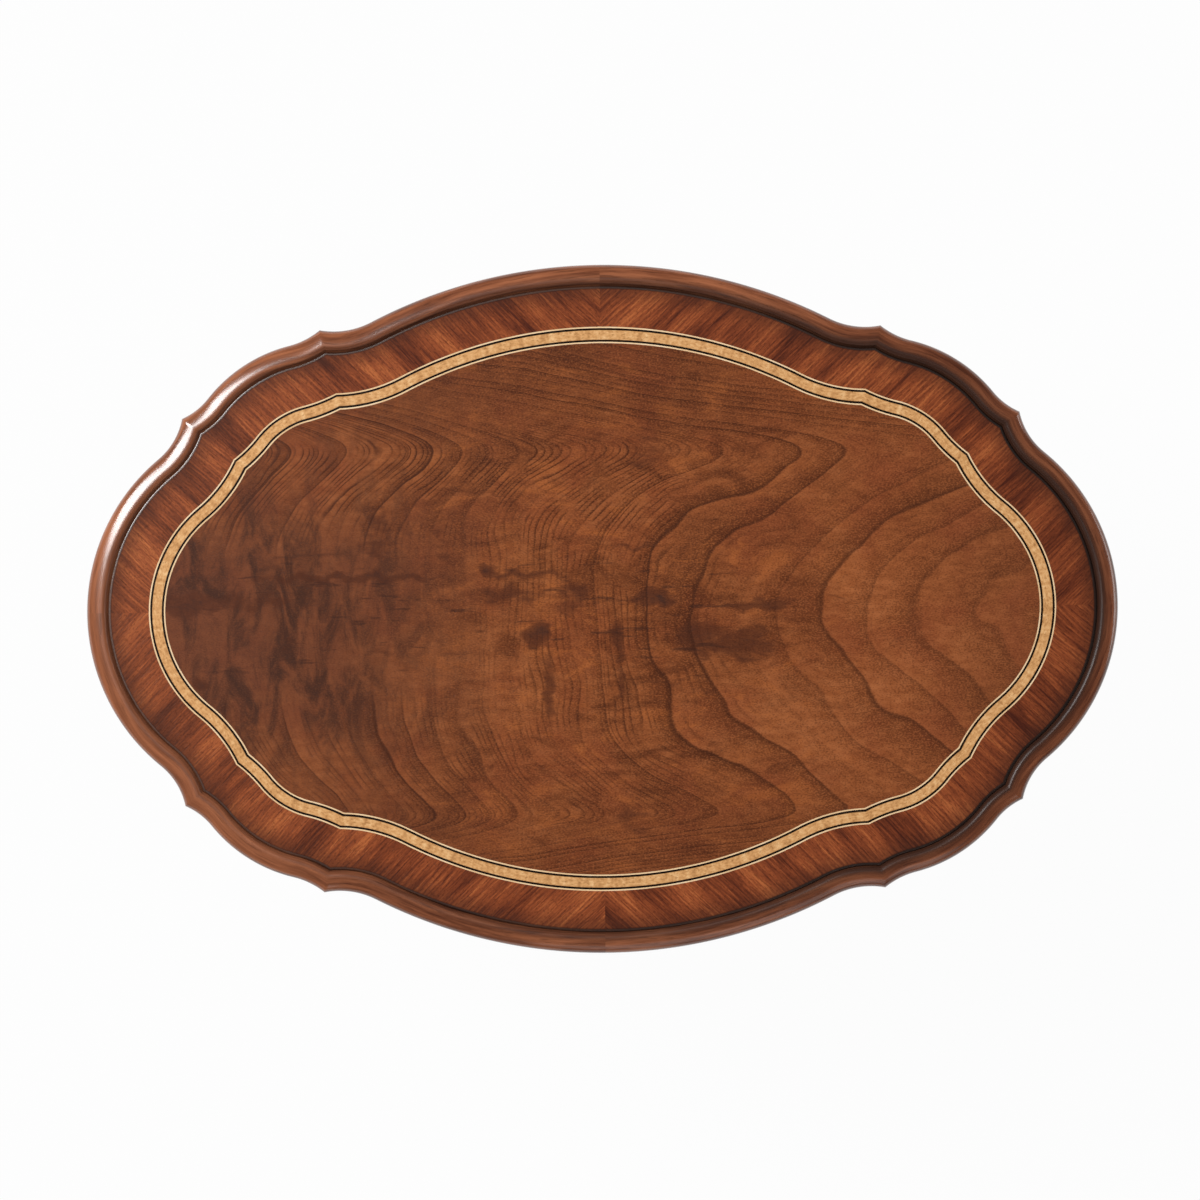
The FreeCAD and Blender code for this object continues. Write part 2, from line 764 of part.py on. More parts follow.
# Pilot holes for the brace screws in the back of the post, and for the glide's nail in the foot.
brace_base = underside - cell("brace_height")
brace_middle = brace_base + cell("brace_height") / 2
screw_hole = cell("screw_diameter") + cell("screw_clearance") * 2
screw_aside = cell("brace_screw_spread") / 2
post_pilots = body_sketch(leg, "post_pilots", "YZ_Plane", post_back)
for aside in (screw_aside, -screw_aside):
    draw_circle(post_pilots, aside, brace_middle, screw_hole)
pocket(leg, post_pilots, cell("brace_screw_bite"))
foot_middle = cell("foot_reach") - cell("foot_depth") / 2
nail_pilot = body_sketch(leg, "nail_pilot", "XY_Plane", foot_base)
draw_circle(nail_pilot, foot_middle, 0, cell("glide_nail_diameter") + cell("screw_clearance") * 2)
pocket(leg, nail_pilot, cell("glide_nail_length"))
doc.recompute()
nodes += to_every_corner("leg", leg)

# Apron rails: lengths of one even ring under the top, stopped at the sides of the posts.
apron_face = inset("apron_face", cell("apron_inset"))
apron_inside = inset("apron_inside", cell("apron_inset") + cell("apron_thickness"))
apron_outer = plate("apron_outer", apron_face, apron_base, underside)
apron_inner = plate("apron_inner", apron_inside, apron_base, underside)
apron_ring = cut("apron_ring", apron_outer, apron_inner)
post_half = cell("post_width") / 2
slot_back = -(cell("apron_inset") + cell("apron_thickness"))
slot = leg_box(
    "post_slot", slot_back, -post_half, apron_base,
    (cell("apron_inset") * 2 + cell("apron_thickness"), cell("post_width"), cell("apron_depth")),
)
slots = fuse("post_slots", *to_every_corner("post_slot", slot))
apron = cut("apron", apron_ring, slots)
tenon_extents = (cell("tenon_thickness"), cell("tenon_length") + cell("tenon_root"), cell("tenon_height"))


def arch(name, rotation, direction, reach):
    """Return the hollow that shapes a rail's lower edge: a flat arch with round shoulders."""
    half_span, rise = cell(f"{name}_half_span"), cell(f"{name}_rise")
    small = cell("arch_shoulder_radius")
    both = (half_span * half_span + rise * rise) / (rise * 2)
    large = both - small
    touch_x = half_span * large / both
    touch_y = rise - large + (both - rise) * large / both
    sketch = new_sketch(name, 0, 0, apron_base, rotation)
    below = -rise
    draw_loop(sketch, [
        (half_span, zero),
        (touch_x, touch_y),
        (-touch_x, touch_y),
        (-half_span, zero),
        (-half_span, below),
        (half_span, below),
    ], {0: -small, 1: large, 2: -small})
    return extrusion(f"{name}_hollow", sketch, direction, 0, reach)


side_arch = arch("side_arch", FRONT_VIEW, ALONG, half_width)
end_arch = arch("end_arch", SIDE_VIEW, ACROSS, half_length)
side_room = box("side_rail_room", (-leg_x, 0, 0), (leg_x * 2, half_width, cell("table_height")))
end_room = box("end_rail_room", (leg_x, -half_width, 0), (half_length, half_width * 2, cell("table_height")))
side_tenon = leg_box(
    "side_tenon", tenon_back, post_half - cell("tenon_length"), tenon_low, tenon_extents
)
end_tenon = leg_box(
    "end_tenon", tenon_back, -post_half - cell("tenon_root"), tenon_low, tenon_extents
)
side_rail = fuse(
    "apron_rail_back",
    cut("side_rail_shaped", common("side_rail_blank", apron, side_room), side_arch),
    side_tenon,
    mirrored("side_tenon_left", side_tenon, ACROSS),
)
end_rail = fuse(
    "apron_rail_right",
    cut("end_rail_shaped", common("end_rail_blank", apron, end_room), end_arch),
    end_tenon,
    mirrored("end_tenon_front", end_tenon, ALONG),
)
nodes += [side_rail, mirrored("apron_rail_front", side_rail, ALONG)]
nodes += [end_rail, mirrored("apron_rail_left", end_rail, ACROSS)]

# Knee brackets: they carry the curve of the knee up under the rails on both sides of each leg.
bracket_low = apron_base - cell("bracket_drop")
bracket_outer = plate("bracket_outer", apron_face, bracket_low, apron_base)
bracket_inner = plate("bracket_inner", apron_inside, bracket_low, apron_base)
bracket_ring = cut("bracket_ring", bracket_outer, bracket_inner)
for name, way in (("side", 1), ("end", -1)):
    blank = leg_body(f"knee_{name}_blank")
    shape = body_sketch(blank, f"knee_{name}_shape", "YZ_Plane", slot_back)
    start = post_half * way
    tip = (post_half + cell("bracket_reach")) * way
    inside = sized(0)
    toe = apron_base - cell("bracket_toe")
    draw_loop(shape, [
        (inside, apron_base),
        (tip, apron_base),
        (tip, toe),
        (start, bracket_low),
        (inside, bracket_low),
    ], {2: cell("bracket_drop") * way})
    pad(blank, shape, cell("apron_inset") * 2 + cell("apron_thickness"))
    doc.recompute()
    fitted = common(f"knee_{name}_fitted", bracket_ring, blank)
    bracket = cut(f"knee_bracket_{name}_back_right", fitted, leg)
    nodes += to_every_corner(f"knee_bracket_{name}", bracket)

# Corner braces: each spans the corner behind its post and is fitted to the insides of the rails.
inner_block = plate("inner_block", apron_inside, brace_base, underside)
brace_back = post_back - cell("brace_thickness")
brace_half = cell("brace_span") / 2
brace_blank = leg_body("brace_blank")
brace_plan = body_sketch(brace_blank, "brace_plan", "XY_Plane", brace_base)
draw_loop(brace_plan, [
    (brace_back, -brace_half),
    (post_back, -brace_half),
    (post_back, brace_half),
    (brace_back, brace_half),
])
pad(brace_blank, brace_plan, cell("brace_height"))
brace_holes = body_sketch(brace_blank, "brace_holes", "YZ_Plane")
for aside in (screw_aside, -screw_aside):
    draw_circle(brace_holes, aside, brace_middle, screw_hole)
pocket(brace_blank, brace_holes)
top_screw_reach = post_back - cell("brace_thickness") / 2
brace_top_hole = body_sketch(brace_blank, "brace_top_hole", "XY_Plane")
draw_circle(brace_top_hole, top_screw_reach, 0, screw_hole)
pocket(brace_blank, brace_top_hole)
doc.recompute()
nodes += to_every_corner("corner_brace", common("corner_brace_back_right", inner_block, brace_blank))

# Glue blocks in the angle between the middle of each rail and the underside of the top.
block_half = cell("glue_block_length") / 2
block_size = cell("glue_block_size")
rail_back = cell("apron_inset") + cell("apron_thickness")
side_block_room = box(
    "side_block_room",
    (-block_half, half_width - rail_back - block_size, underside - block_size),
    (block_half * 2, block_size, block_size),
)
end_block_room = box(
    "end_block_room",
    (half_length - rail_back - block_size, -block_half, underside - block_size),
    (block_size, block_half * 2, block_size),
)
side_block = common("glue_block_back", inner_block, side_block_room)
end_block = common("glue_block_right", inner_block, end_block_room)
nodes += [side_block, mirrored("glue_block_front", side_block, ALONG)]
nodes += [end_block, mirrored("glue_block_left", end_block, ACROSS)]


def turned(name, plane, axis, corners, reach, aside, height):
    """Return a piece turned about an axis through a point of the leg's frame."""
    body = leg_body(name, reach, aside, height)
    sketch = body_sketch(body, f"{name}_profile", plane)
    draw_loop(sketch, corners)
    spin = body.newObject("PartDesign::Revolution", f"{name}_turning")
    spin.Profile = sketch
    spin.ReferenceAxis = (sketch, [axis])
    sketch.Visibility = False
    return body


def screw_profile(grip, bite, lengthwise):
    """Return half the outline of a pan-head screw whose head bears at the origin."""
    head, shank = cell("screw_head_diameter") / 2, cell("screw_diameter") / 2
    reach = grip + bite
    steps = [
        (-cell("screw_head_height"), zero),
        (reach, zero),
        (reach - shank, shank),
        (zero, shank),
        (zero, head),
        (-cell("screw_head_height"), head),
    ]
    return steps if lengthwise else [(across, along) for along, across in steps]


# Screws: two through each brace into the back of the post, one up through it into the core.
brace_screws = []
for side, aside in (("near", screw_aside), ("far", -screw_aside)):
    profile = screw_profile(cell("brace_thickness"), cell("brace_screw_bite") - cell("screw_clearance"), True)
    screw = turned(f"brace_screw_{side}", "XZ_Plane", "H_Axis", profile, brace_back, aside, brace_middle)
    brace_screws += to_every_corner(f"brace_screw_{side}", screw)
top_profile = screw_profile(cell("brace_height"), cell("top_screw_bite") - cell("screw_clearance"), False)
top_screw = turned("top_screw", "XZ_Plane", "V_Axis", top_profile, top_screw_reach, 0, brace_base)
top_screws = to_every_corner("top_screw", top_screw)
nodes.append(group("brace_screws", brace_screws))
nodes.append(group("top_screws", top_screws))

# The screws into the top pass the backing veneer and bite in the core.
pilot = doc.addObject("Part::Cylinder", "top_pilot")
for axis, size in zip("xyz", (*leg_point(top_screw_reach, 0), underside)):
    bind(pilot, f"Placement.Base.{axis}", size)
bind(pilot, "Radius", screw_hole / 2)
bind(pilot, "Height", cell("top_screw_bite"))
pilots = fuse("top_pilots", *to_every_corner("top_pilot", pilot))
nodes.append(cut("top_core", core_blank, pilots))
nodes.append(cut("backing_veneer", backing_blank, pilots))

# Glides: a domed disc under each foot, held by its own nail.
glide_radius = cell("glide_diameter") / 2
nail_radius = cell("glide_nail_diameter") / 2
glide_profile = [
    (zero, zero),
    (glide_radius - cell("glide_edge"), zero),
    (glide_radius, cell("glide_edge")),
    (glide_radius, foot_base),
    (nail_radius, foot_base),
    (nail_radius, foot_base + cell("glide_nail_length") - nail_radius),
    (zero, foot_base + cell("glide_nail_length") - cell("screw_clearance")),
]
glide = turned("foot_glide", "XZ_Plane", "V_Axis", glide_profile, foot_middle, 0, 0)
nodes.append(group("foot_glides", to_every_corner("foot_glide", glide)))

doc.recompute()
failed = [o.Label for o in doc.Objects if {"Invalid", "Error"} & set(o.State)]
if failed:
    raise RuntimeError("failed objects: " + ", ".join(failed))
for node in nodes:
    if node.Shape.isNull() or not node.Shape.isValid() or not node.Shape.Solids:
        raise RuntimeError("bad shape: " + node.Label)

os.makedirs("parts", exist_ok=True)
for node in nodes:
    node.Shape.exportStep(os.path.join("parts", node.Label + ".step"))
    print(node.Label, len(node.Shape.Solids), round(node.Shape.Volume))
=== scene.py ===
import bmesh
import bpy
import math
import numpy as np
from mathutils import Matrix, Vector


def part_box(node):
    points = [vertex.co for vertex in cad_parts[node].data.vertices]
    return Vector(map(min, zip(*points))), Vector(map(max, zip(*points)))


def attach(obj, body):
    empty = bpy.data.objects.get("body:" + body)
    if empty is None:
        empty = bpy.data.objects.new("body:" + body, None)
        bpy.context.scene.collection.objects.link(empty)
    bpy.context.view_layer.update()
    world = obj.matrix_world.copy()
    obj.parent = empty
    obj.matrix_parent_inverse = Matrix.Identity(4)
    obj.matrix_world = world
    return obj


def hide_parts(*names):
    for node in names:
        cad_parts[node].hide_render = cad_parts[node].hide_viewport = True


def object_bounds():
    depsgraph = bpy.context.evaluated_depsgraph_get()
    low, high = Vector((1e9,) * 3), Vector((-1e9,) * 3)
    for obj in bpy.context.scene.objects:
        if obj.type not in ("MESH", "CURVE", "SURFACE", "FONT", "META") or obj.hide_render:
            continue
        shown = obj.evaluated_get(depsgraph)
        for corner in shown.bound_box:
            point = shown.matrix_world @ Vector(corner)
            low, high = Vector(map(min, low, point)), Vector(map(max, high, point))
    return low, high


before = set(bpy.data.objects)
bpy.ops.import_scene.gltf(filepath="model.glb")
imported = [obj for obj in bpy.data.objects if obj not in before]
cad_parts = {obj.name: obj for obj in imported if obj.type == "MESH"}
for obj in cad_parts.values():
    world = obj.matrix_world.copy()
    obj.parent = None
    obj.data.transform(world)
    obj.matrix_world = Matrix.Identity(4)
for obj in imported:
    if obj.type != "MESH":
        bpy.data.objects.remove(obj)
cad_box = [list(corner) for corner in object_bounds()]

# Legs: four cabriole legs in solid mahogany, one under each lobe of the top. Each is sawn to its S
# curve, rounded by hand down to a pad foot, mortised for the rails and finished in clear lacquer.
SIDE_CUSP = np.array([0.1866, 0.1871])
END_CUSP = np.array([0.2787, 0.1289])
LOBE_RADIUS = 0.0997
LOBE_FLARE = 0.0074
APRON_INSET = 0.030
APRON_THICKNESS = 0.020
POST_PROUD = 0.002
POST_DEPTH = 0.042
POST_WIDTH = 0.046
FOOT_PROUD = 0.007
FOOT_DEPTH = 0.044
LEG_CUT_STEP = 1.7
LEG_CORNER_POINTS = 9
CREASE_ANGLE = 32
MERGE_DISTANCE = 1e-7
CORNERS = {"back_right": (1, 1), "back_left": (-1, 1), "front_right": (1, -1), "front_left": (-1, -1)}
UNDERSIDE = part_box("backing_veneer")[0].z
APRON_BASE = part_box("apron_rail_back")[0].z
SOLE_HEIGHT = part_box("leg_back_right")[0].z


def meeting(first, first_radius, second, second_radius):
    """Both points at given distances from two points: the foot on their line, plus and minus a normal."""
    line = second - first
    gap = np.hypot(*line)
    along = (first_radius ** 2 - second_radius ** 2 + gap ** 2) / (2 * gap)
    aside = math.sqrt(first_radius ** 2 - along ** 2)
    foot = first + line * along / gap
    square = np.array([-line[1], line[0]]) * aside / gap
    return foot + square, foot - square


LOBE_REACH = LOBE_RADIUS + LOBE_FLARE
LOBE_CENTRE = min(meeting(SIDE_CUSP, LOBE_REACH, END_CUSP, LOBE_REACH), key=lambda p: np.hypot(*p))
chord = (END_CUSP - SIDE_CUSP) / np.hypot(*(END_CUSP - SIDE_CUSP))
LEG_OUT = np.array([-chord[1], chord[0]])
LEG_ASIDE = np.array([-LEG_OUT[1], LEG_OUT[0]])
LEG_PLACE = LOBE_CENTRE + LEG_OUT * (LOBE_RADIUS - APRON_INSET)

# Each station: height, reach out from the apron, depth, width, front rounding, back rounding.
LEG_STATIONS = np.array([
    (UNDERSIDE, POST_PROUD, POST_DEPTH, POST_WIDTH, 0.0045, 0.003),
    (APRON_BASE, POST_PROUD, POST_DEPTH, POST_WIDTH, 0.0045, 0.003),
    (APRON_BASE - 0.040, 0.015, 0.048, 0.050, 0.0210, 0.0150),
    (0.112, -0.019, 0.022, 0.023, 0.00966, 0.0069),
    (0.019, FOOT_PROUD, FOOT_DEPTH, 0.042, 0.01764, 0.0126),
    (SOLE_HEIGHT, 0.0025, 0.035, 0.033, 0.01314, 0.0081),
])
LEVELS_BETWEEN = (6, 10, 60, 40, 12)


def leg_levels():
    """Stations down the leg: cosine-eased between the turning points, an ellipse under the foot."""
    rows = [LEG_STATIONS[:1]]
    last = len(LEVELS_BETWEEN) - 1
    for k, count in enumerate(LEVELS_BETWEEN):
        share = np.arange(1, count + 1)[:, None] / count
        ease = (1 - np.cos(np.pi * share)) / 2
        if k == last:
            share = np.sin(share * np.pi / 2)
            ease = 1 - np.sqrt(1 - np.minimum(share, 1) ** 2)
        top, low = LEG_STATIONS[k], LEG_STATIONS[k + 1]
        sizes = top[1:] + (low[1:] - top[1:]) * ease
        heights = top[:1] + (low[:1] - top[:1]) * share
        rows.append(np.hstack([heights, sizes]))
    return np.vstack(rows)


def leg_skin(flip_x, flip_y):
    """Skin of one leg: at every level a rectangle with four quarter-circle corners, in plan axes.

    A corner's point is its centre plus its radius at an angle; front corners are rounder than back.
    """
    height, reach, deep, wide, front, back = leg_levels().T[:, :, None]
    turn = np.linspace(0, np.pi / 2, LEG_CORNER_POINTS)
    corners = [
        (reach - front, wide / 2 - front, front, turn),
        (reach - deep + back, wide / 2 - back, back, turn + np.pi / 2),
        (reach - deep + back, back - wide / 2, back, turn + np.pi),
        (reach - front, front - wide / 2, front, turn + 3 * np.pi / 2),
    ]
    outward = np.hstack([x + radius * np.cos(angle) for x, y, radius, angle in corners])
    aside = np.hstack([y + radius * np.sin(angle) for x, y, radius, angle in corners])
    plan = LEG_PLACE + outward[..., None] * LEG_OUT + aside[..., None] * LEG_ASIDE
    heights = np.broadcast_to(height, outward.shape)
    return np.dstack([plan * (flip_x, flip_y), heights])


def lengths(points):
    """Running distance along the first axis of an array of points."""
    steps = np.linalg.norm(np.diff(points, axis=0), axis=-1)
    return np.concatenate([np.zeros_like(steps[:1]), np.cumsum(steps, axis=0)])


def wrapped(points):
    """Points with the first of each ring repeated at its end."""
    return np.concatenate([points, points[:, :1]], axis=1)


def grain_map(points, start):
    """UV of a skin in metres: distance along the piece, then distance round its section.

    The start is where in the timber the piece is cut, so that no two pieces show the same figure.
    """
    closed = wrapped(points)
    along = lengths(closed[:, :1])[:, 0] + start
    across = lengths(np.swapaxes(closed, 0, 1)).T
    return np.dstack([np.broadcast_to(along[:, None], across.shape), across])


def placed(name, data):
    """A new object of some data, in the scene."""
    item = bpy.data.objects.new(name, data)
    bpy.context.scene.collection.objects.link(item)
    return item


def add_piece(name, skins, material, nodes, uv=None, loop=False, poles=False, values=None):
    """Make a closed mesh of one or more skins, each a grid of points (along, round, 3).

    The second axis closes on itself, or ends in poles; the first closes if it is a loop, and is
    otherwise capped. values are point attributes. The piece rides on the table's one body.
    """
    faces, loop_uv, start = [], [], 0
    for number, skin in enumerate(skins):
        rows, columns = skin.shape[:2]
        i, j = np.meshgrid(np.arange(rows if loop else rows - 1), np.arange(columns - poles), indexing="ij")
        corner_i = np.stack([i, i + 1, i + 1, i], axis=-1)
        corner_j = np.stack([j, j, j + 1, j + 1], axis=-1)
        quads = corner_i % rows * columns + corner_j % columns + start
        faces += quads.reshape(-1, 4).tolist()
        caps = [] if loop else [0, rows - 1]
        faces += [(np.arange(columns) + start + end * columns).tolist() for end in caps]
        if uv is not None:
            loop_uv.append(uv[number][corner_i, corner_j].reshape(-1, 2))
            loop_uv += [uv[number][end, :columns] for end in caps]
        start += rows * columns
    mesh = bpy.data.meshes.new(name)
    mesh.from_pydata(np.concatenate([skin.reshape(-1, 3) for skin in skins]), [], faces)
    if uv is not None:
        layer = mesh.uv_layers.new(name="grain")
        layer.data.foreach_set("uv", np.concatenate(loop_uv).astype(np.float32).ravel())
    for label, numbers in (values or {}).items():
        column = mesh.attributes.new(label, "FLOAT", "POINT")
        column.data.foreach_set("value", numbers.astype(np.float32).ravel())
    shell = bmesh.new()
    shell.from_mesh(mesh)
    if poles:
        bmesh.ops.remove_doubles(shell, verts=shell.verts, dist=MERGE_DISTANCE)
    bmesh.ops.recalc_face_normals(shell, faces=shell.faces)
    shell.to_mesh(mesh)
    shell.free()
    mesh.shade_smooth()
    mesh.set_sharp_from_angle(angle=math.radians(CREASE_ANGLE))
    mesh.materials.append(material)
    piece = placed(name, mesh)
    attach(piece, "root")
    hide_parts(*nodes)


def colour(red, green, blue):
    """A display colour of 0 to 255 as the linear light that a socket takes."""
    shown = np.array([red, green, blue]) / 255
    linear = np.where(shown <= 0.04045, shown / 12.92, ((shown + 0.055) / 1.055) ** 2.4)
    return (*linear.tolist(), 1.0)


def add_node(tree, kind, inputs=None, **settings):
    """Add a node; an input that is a socket is linked, any other value is set on the input itself."""
    node = tree.nodes.new(kind)
    for label, value in settings.items():
        setattr(node, label, value)
    for label, value in (inputs or {}).items():
        if isinstance(value, bpy.types.NodeSocket):
            tree.links.new(value, node.inputs[label])
        else:
            node.inputs[label].default_value = value
    return node


def maths(tree, operation, *values):
    """The result of an operation on one, two or three values."""
    return add_node(tree, "ShaderNodeMath", dict(enumerate(values)), operation=operation).outputs[0]


def product(tree, first, *others):
    """The product of values, taken from left to right."""
    for value in others:
        first = maths(tree, "MULTIPLY", first, value)
    return first


def mixed(tree, factor, first, second):
    """The colour between two colours."""
    return add_node(tree, "ShaderNodeMix", {0: factor, 6: first, 7: second}, data_type="RGBA").outputs[2]


def layered(tree, base, layers):
    """A colour with layers laid over it in turn, each a share and a display colour."""
    for share, shade in layers:
        base = mixed(tree, share, base, colour(*shade))
    return base


def ramp(tree, value, stops):
    """The colour that a value has on a ramp of (place, colour) stops."""
    node = add_node(tree, "ShaderNodeValToRGB", {0: value})
    elements = node.color_ramp.elements
    while len(elements) < len(stops):
        elements.new(0.5)
    for element, (place, shade) in zip(elements, stops):
        element.position = place
        element.color = shade
    return node.outputs[0]


def span(tree, value, low, high, first=0.0, last=1.0):
    """A value carried smoothly from one range to another, and held at its ends."""
    inputs = {0: value, 1: low, 2: high, 3: first, 4: last}
    return add_node(tree, "ShaderNodeMapRange", inputs, interpolation_type="SMOOTHSTEP").outputs[0]


def scaled(tree, vector, scale):
    """A vector stretched along its axes."""
    return add_node(tree, "ShaderNodeVectorMath", {0: vector, 1: scale}, operation="MULTIPLY").outputs[0]


def noise(tree, vector, scale, detail=3.0, rough=0.55, distortion=0.0):
    """Soft cloud noise, from 0 to 1."""
    inputs = {
        "Vector": vector, "Scale": scale, "Detail": detail, "Roughness": rough, "Distortion": distortion,
    }
    return add_node(tree, "ShaderNodeTexNoise", inputs).outputs[0]


def object_place(tree):
    """The place of a point on its own object."""
    return add_node(tree, "ShaderNodeTexCoord").outputs["Object"]


def grain_uv(tree):
    """The place of a point along and across its piece's grain."""
    return add_node(tree, "ShaderNodeUVMap", uv_map="grain").outputs[0]


def attribute(tree, label):
    """The value of a point attribute."""
    return add_node(tree, "ShaderNodeAttribute", attribute_name=label).outputs["Fac"]


def axes(tree, vector):
    """The three values of a vector."""
    return add_node(tree, "ShaderNodeSeparateXYZ", {0: vector}).outputs


def make_timber_grain():
    """Group for any timber: streaks, open pores and broad clouds, drawn out along the grain.

    The vector is in metres with X along the grain; widths are in streaks or pores to the metre.
    """
    group = bpy.data.node_groups.new("timber_grain", "ShaderNodeTree")
    face = group.interface
    face.new_socket("Vector", in_out="INPUT", socket_type="NodeSocketVector")
    for label in ("Streaks", "Pores", "Clouds", "Draw"):
        face.new_socket(label, in_out="INPUT", socket_type="NodeSocketFloat")
    for label in ("Streak", "Pore", "Cloud"):
        face.new_socket(label, in_out="OUTPUT", socket_type="NodeSocketFloat")
    given = add_node(group, "NodeGroupInput").outputs
    result = add_node(group, "NodeGroupOutput").inputs
    warp = add_node(group, "ShaderNodeTexNoise", {"Vector": given["Vector"], "Scale": 9.0, "Detail": 2.0})
    bend = scaled(group, warp.outputs[1], (0.0, 0.012, 0.0))
    bent = add_node(group, "ShaderNodeVectorMath", {0: given["Vector"], 1: bend}, operation="ADD")
    draw = add_node(group, "ShaderNodeCombineXYZ", {0: given["Draw"], 1: 1.0, 2: 1.0})
    drawn = scaled(group, bent.outputs[0], draw.outputs[0])
    streak = noise(group, drawn, given["Streaks"], 5.0, 0.62)
    fine = noise(group, drawn, given["Pores"], 2.0, 0.5)
    group.links.new(streak, result["Streak"])
    group.links.new(span(group, fine, 0.56, 0.70), result["Pore"])
    group.links.new(noise(group, given["Vector"], given["Clouds"], 3.0, 0.5), result["Cloud"])
    return group


timber_grain = make_timber_grain()


def new_material(name):
    """An empty material and its node tree."""
    material = bpy.data.materials.new(name)
    material.use_nodes = True
    material.node_tree.nodes.clear()
    return material, material.node_tree


def grain(tree, vector, streaks, pores, clouds, draw):
    """Streak, pore and cloud values of a timber."""
    node = add_node(tree, "ShaderNodeGroup", node_tree=timber_grain)
    tree.links.new(vector, node.inputs["Vector"])
    for label, value in (("Streaks", streaks), ("Pores", pores), ("Clouds", clouds), ("Draw", draw)):
        node.inputs[label].default_value = value
    return node.outputs["Streak"], node.outputs["Pore"], node.outputs["Cloud"]


def timber_base(tree, vector, sizes, shares, stops, pores, pore_shade):
    """Colour, streaks and pores of a timber: a ramp of clouds and streaks, darkened in the pores."""
    streak, pore, cloud = grain(tree, vector, *sizes)
    tone = maths(tree, "MULTIPLY_ADD", cloud, shares[0], product(tree, streak, shares[1]))
    base = ramp(tree, tone, stops)
    return mixed(tree, product(tree, pore, pores), base, pore_shade), streak, pore


def finish(tree, height, strength, relief, inputs):
    """Principled surface with a small relief, joined to the material's output."""
    bump = add_node(tree, "ShaderNodeBump", {"Strength": strength, "Distance": relief, "Height": height})
    shader = add_node(tree, "ShaderNodeBsdfPrincipled", {**inputs, "Normal": bump.outputs[0]})
    tree.links.new(shader.outputs[0], add_node(tree, "ShaderNodeOutputMaterial").inputs[0])


def finish_wood(tree, base, roughness, height, relief, coat, coat_roughness, specular=0.5):
    """Principled wood under lacquer: base colour, roughness and a small relief from the grain."""
    finish(tree, height, 0.35, relief, {
        "Base Color": base,
        "Roughness": roughness,
        "Coat Weight": coat,
        "Coat Roughness": coat_roughness,
        "Specular IOR Level": specular,
    })


def polished_mahogany(name):
    """Brown mahogany along a piece's own UV: dark streaks, fine pores, worn lighter in clouds."""
    material, tree = new_material(name)
    sizes = (210.0, 900.0, 11.0, 0.07)
    stops = [(0.34, colour(74, 40, 28)), (0.52, colour(112, 63, 43)), (0.70, colour(142, 84, 56))]
    base, streak, pore = timber_base(
        tree, grain_uv(tree), sizes, (0.45, 0.62), stops, 0.42, colour(46, 26, 20))
    roughness = span(tree, streak, 0.2, 0.8, 0.42, 0.30)
    height = maths(tree, "MULTIPLY_ADD", pore, -0.5, streak)
    finish_wood(tree, base, roughness, height, 0.0002, 0.55, 0.12)
    return material


leg_mahogany = polished_mahogany("leg_mahogany")
for number, (corner, flips) in enumerate(CORNERS.items()):
    skin = leg_skin(*flips)
    add_piece(f"cabriole_leg_{corner}", [skin], leg_mahogany, [f"leg_{corner}"],
              uv=[grain_map(skin, number * LEG_CUT_STEP)])

# Apron rails: four mahogany rails that follow the shaped top at an even distance inside it. Each is
# tenoned into the leg posts at both ends and has its lower edge cut to a flat arch.
HALF_LENGTH = cad_box[1][0]
HALF_WIDTH = cad_box[1][1]
SIDE_FLARE = 0.0127
END_FLARE = 0.0135
SIDE_HOLLOW = 0.0537
END_HOLLOW = 0.0467
SIDE_ARCH_HALF = 0.138
SIDE_ARCH_RISE = 0.024
END_ARCH_HALF = 0.062
END_ARCH_RISE = 0.015
ARCH_SHOULDER = 0.026
OUTLINE_STEPS = 40
RAIL_CUT_START = 9.0
RAIL_CUT_STEP = 1.3


def swell(reach, drop, flare):
    """Radius of the arc whose cusp lies reach along and drop down from its crown, flare outside it."""
    return (reach ** 2 + drop ** 2 - flare ** 2) / (2 * (flare + drop))


SIDE_SWELL = swell(SIDE_CUSP[0], HALF_WIDTH - SIDE_CUSP[1], SIDE_FLARE)
END_SWELL = swell(END_CUSP[1], HALF_LENGTH - END_CUSP[0], END_FLARE)
SIDE_CENTRE = np.array([0.0, HALF_WIDTH - SIDE_SWELL])
END_CENTRE = np.array([HALF_LENGTH - END_SWELL, 0.0])
hollow_bearers = [
    (SIDE_CENTRE, SIDE_SWELL, SIDE_CUSP, SIDE_HOLLOW, lambda p: -p[0]),
    (LOBE_CENTRE, LOBE_RADIUS, SIDE_CUSP, SIDE_HOLLOW, lambda p: p[0]),
    (LOBE_CENTRE, LOBE_RADIUS, END_CUSP, END_HOLLOW, lambda p: p[1]),
    (END_CENTRE, END_SWELL, END_CUSP, END_HOLLOW, lambda p: -p[1]),
]
HOLLOW_CENTRES = []
HOLLOW_TOUCHES = []
for bearer, bearer_radius, cusp, hollow, outermost in hollow_bearers:
    centre = max(meeting(bearer, bearer_radius + hollow, cusp, hollow), key=outermost)
    HOLLOW_CENTRES.append(centre)
    HOLLOW_TOUCHES.append(bearer + (centre - bearer) * bearer_radius / (bearer_radius + hollow))

# Each half side: centre, radius and crown of its swell, its cusp, and its hollows' radius and numbers.
HALF_SIDES = {
    "side": (SIDE_CENTRE, SIDE_SWELL, np.array([0.0, HALF_WIDTH]), SIDE_CUSP, SIDE_HOLLOW, (0, 1)),
    "end": (END_CENTRE, END_SWELL, np.array([HALF_LENGTH, 0.0]), END_CUSP, END_HOLLOW, (3, 2)),
}


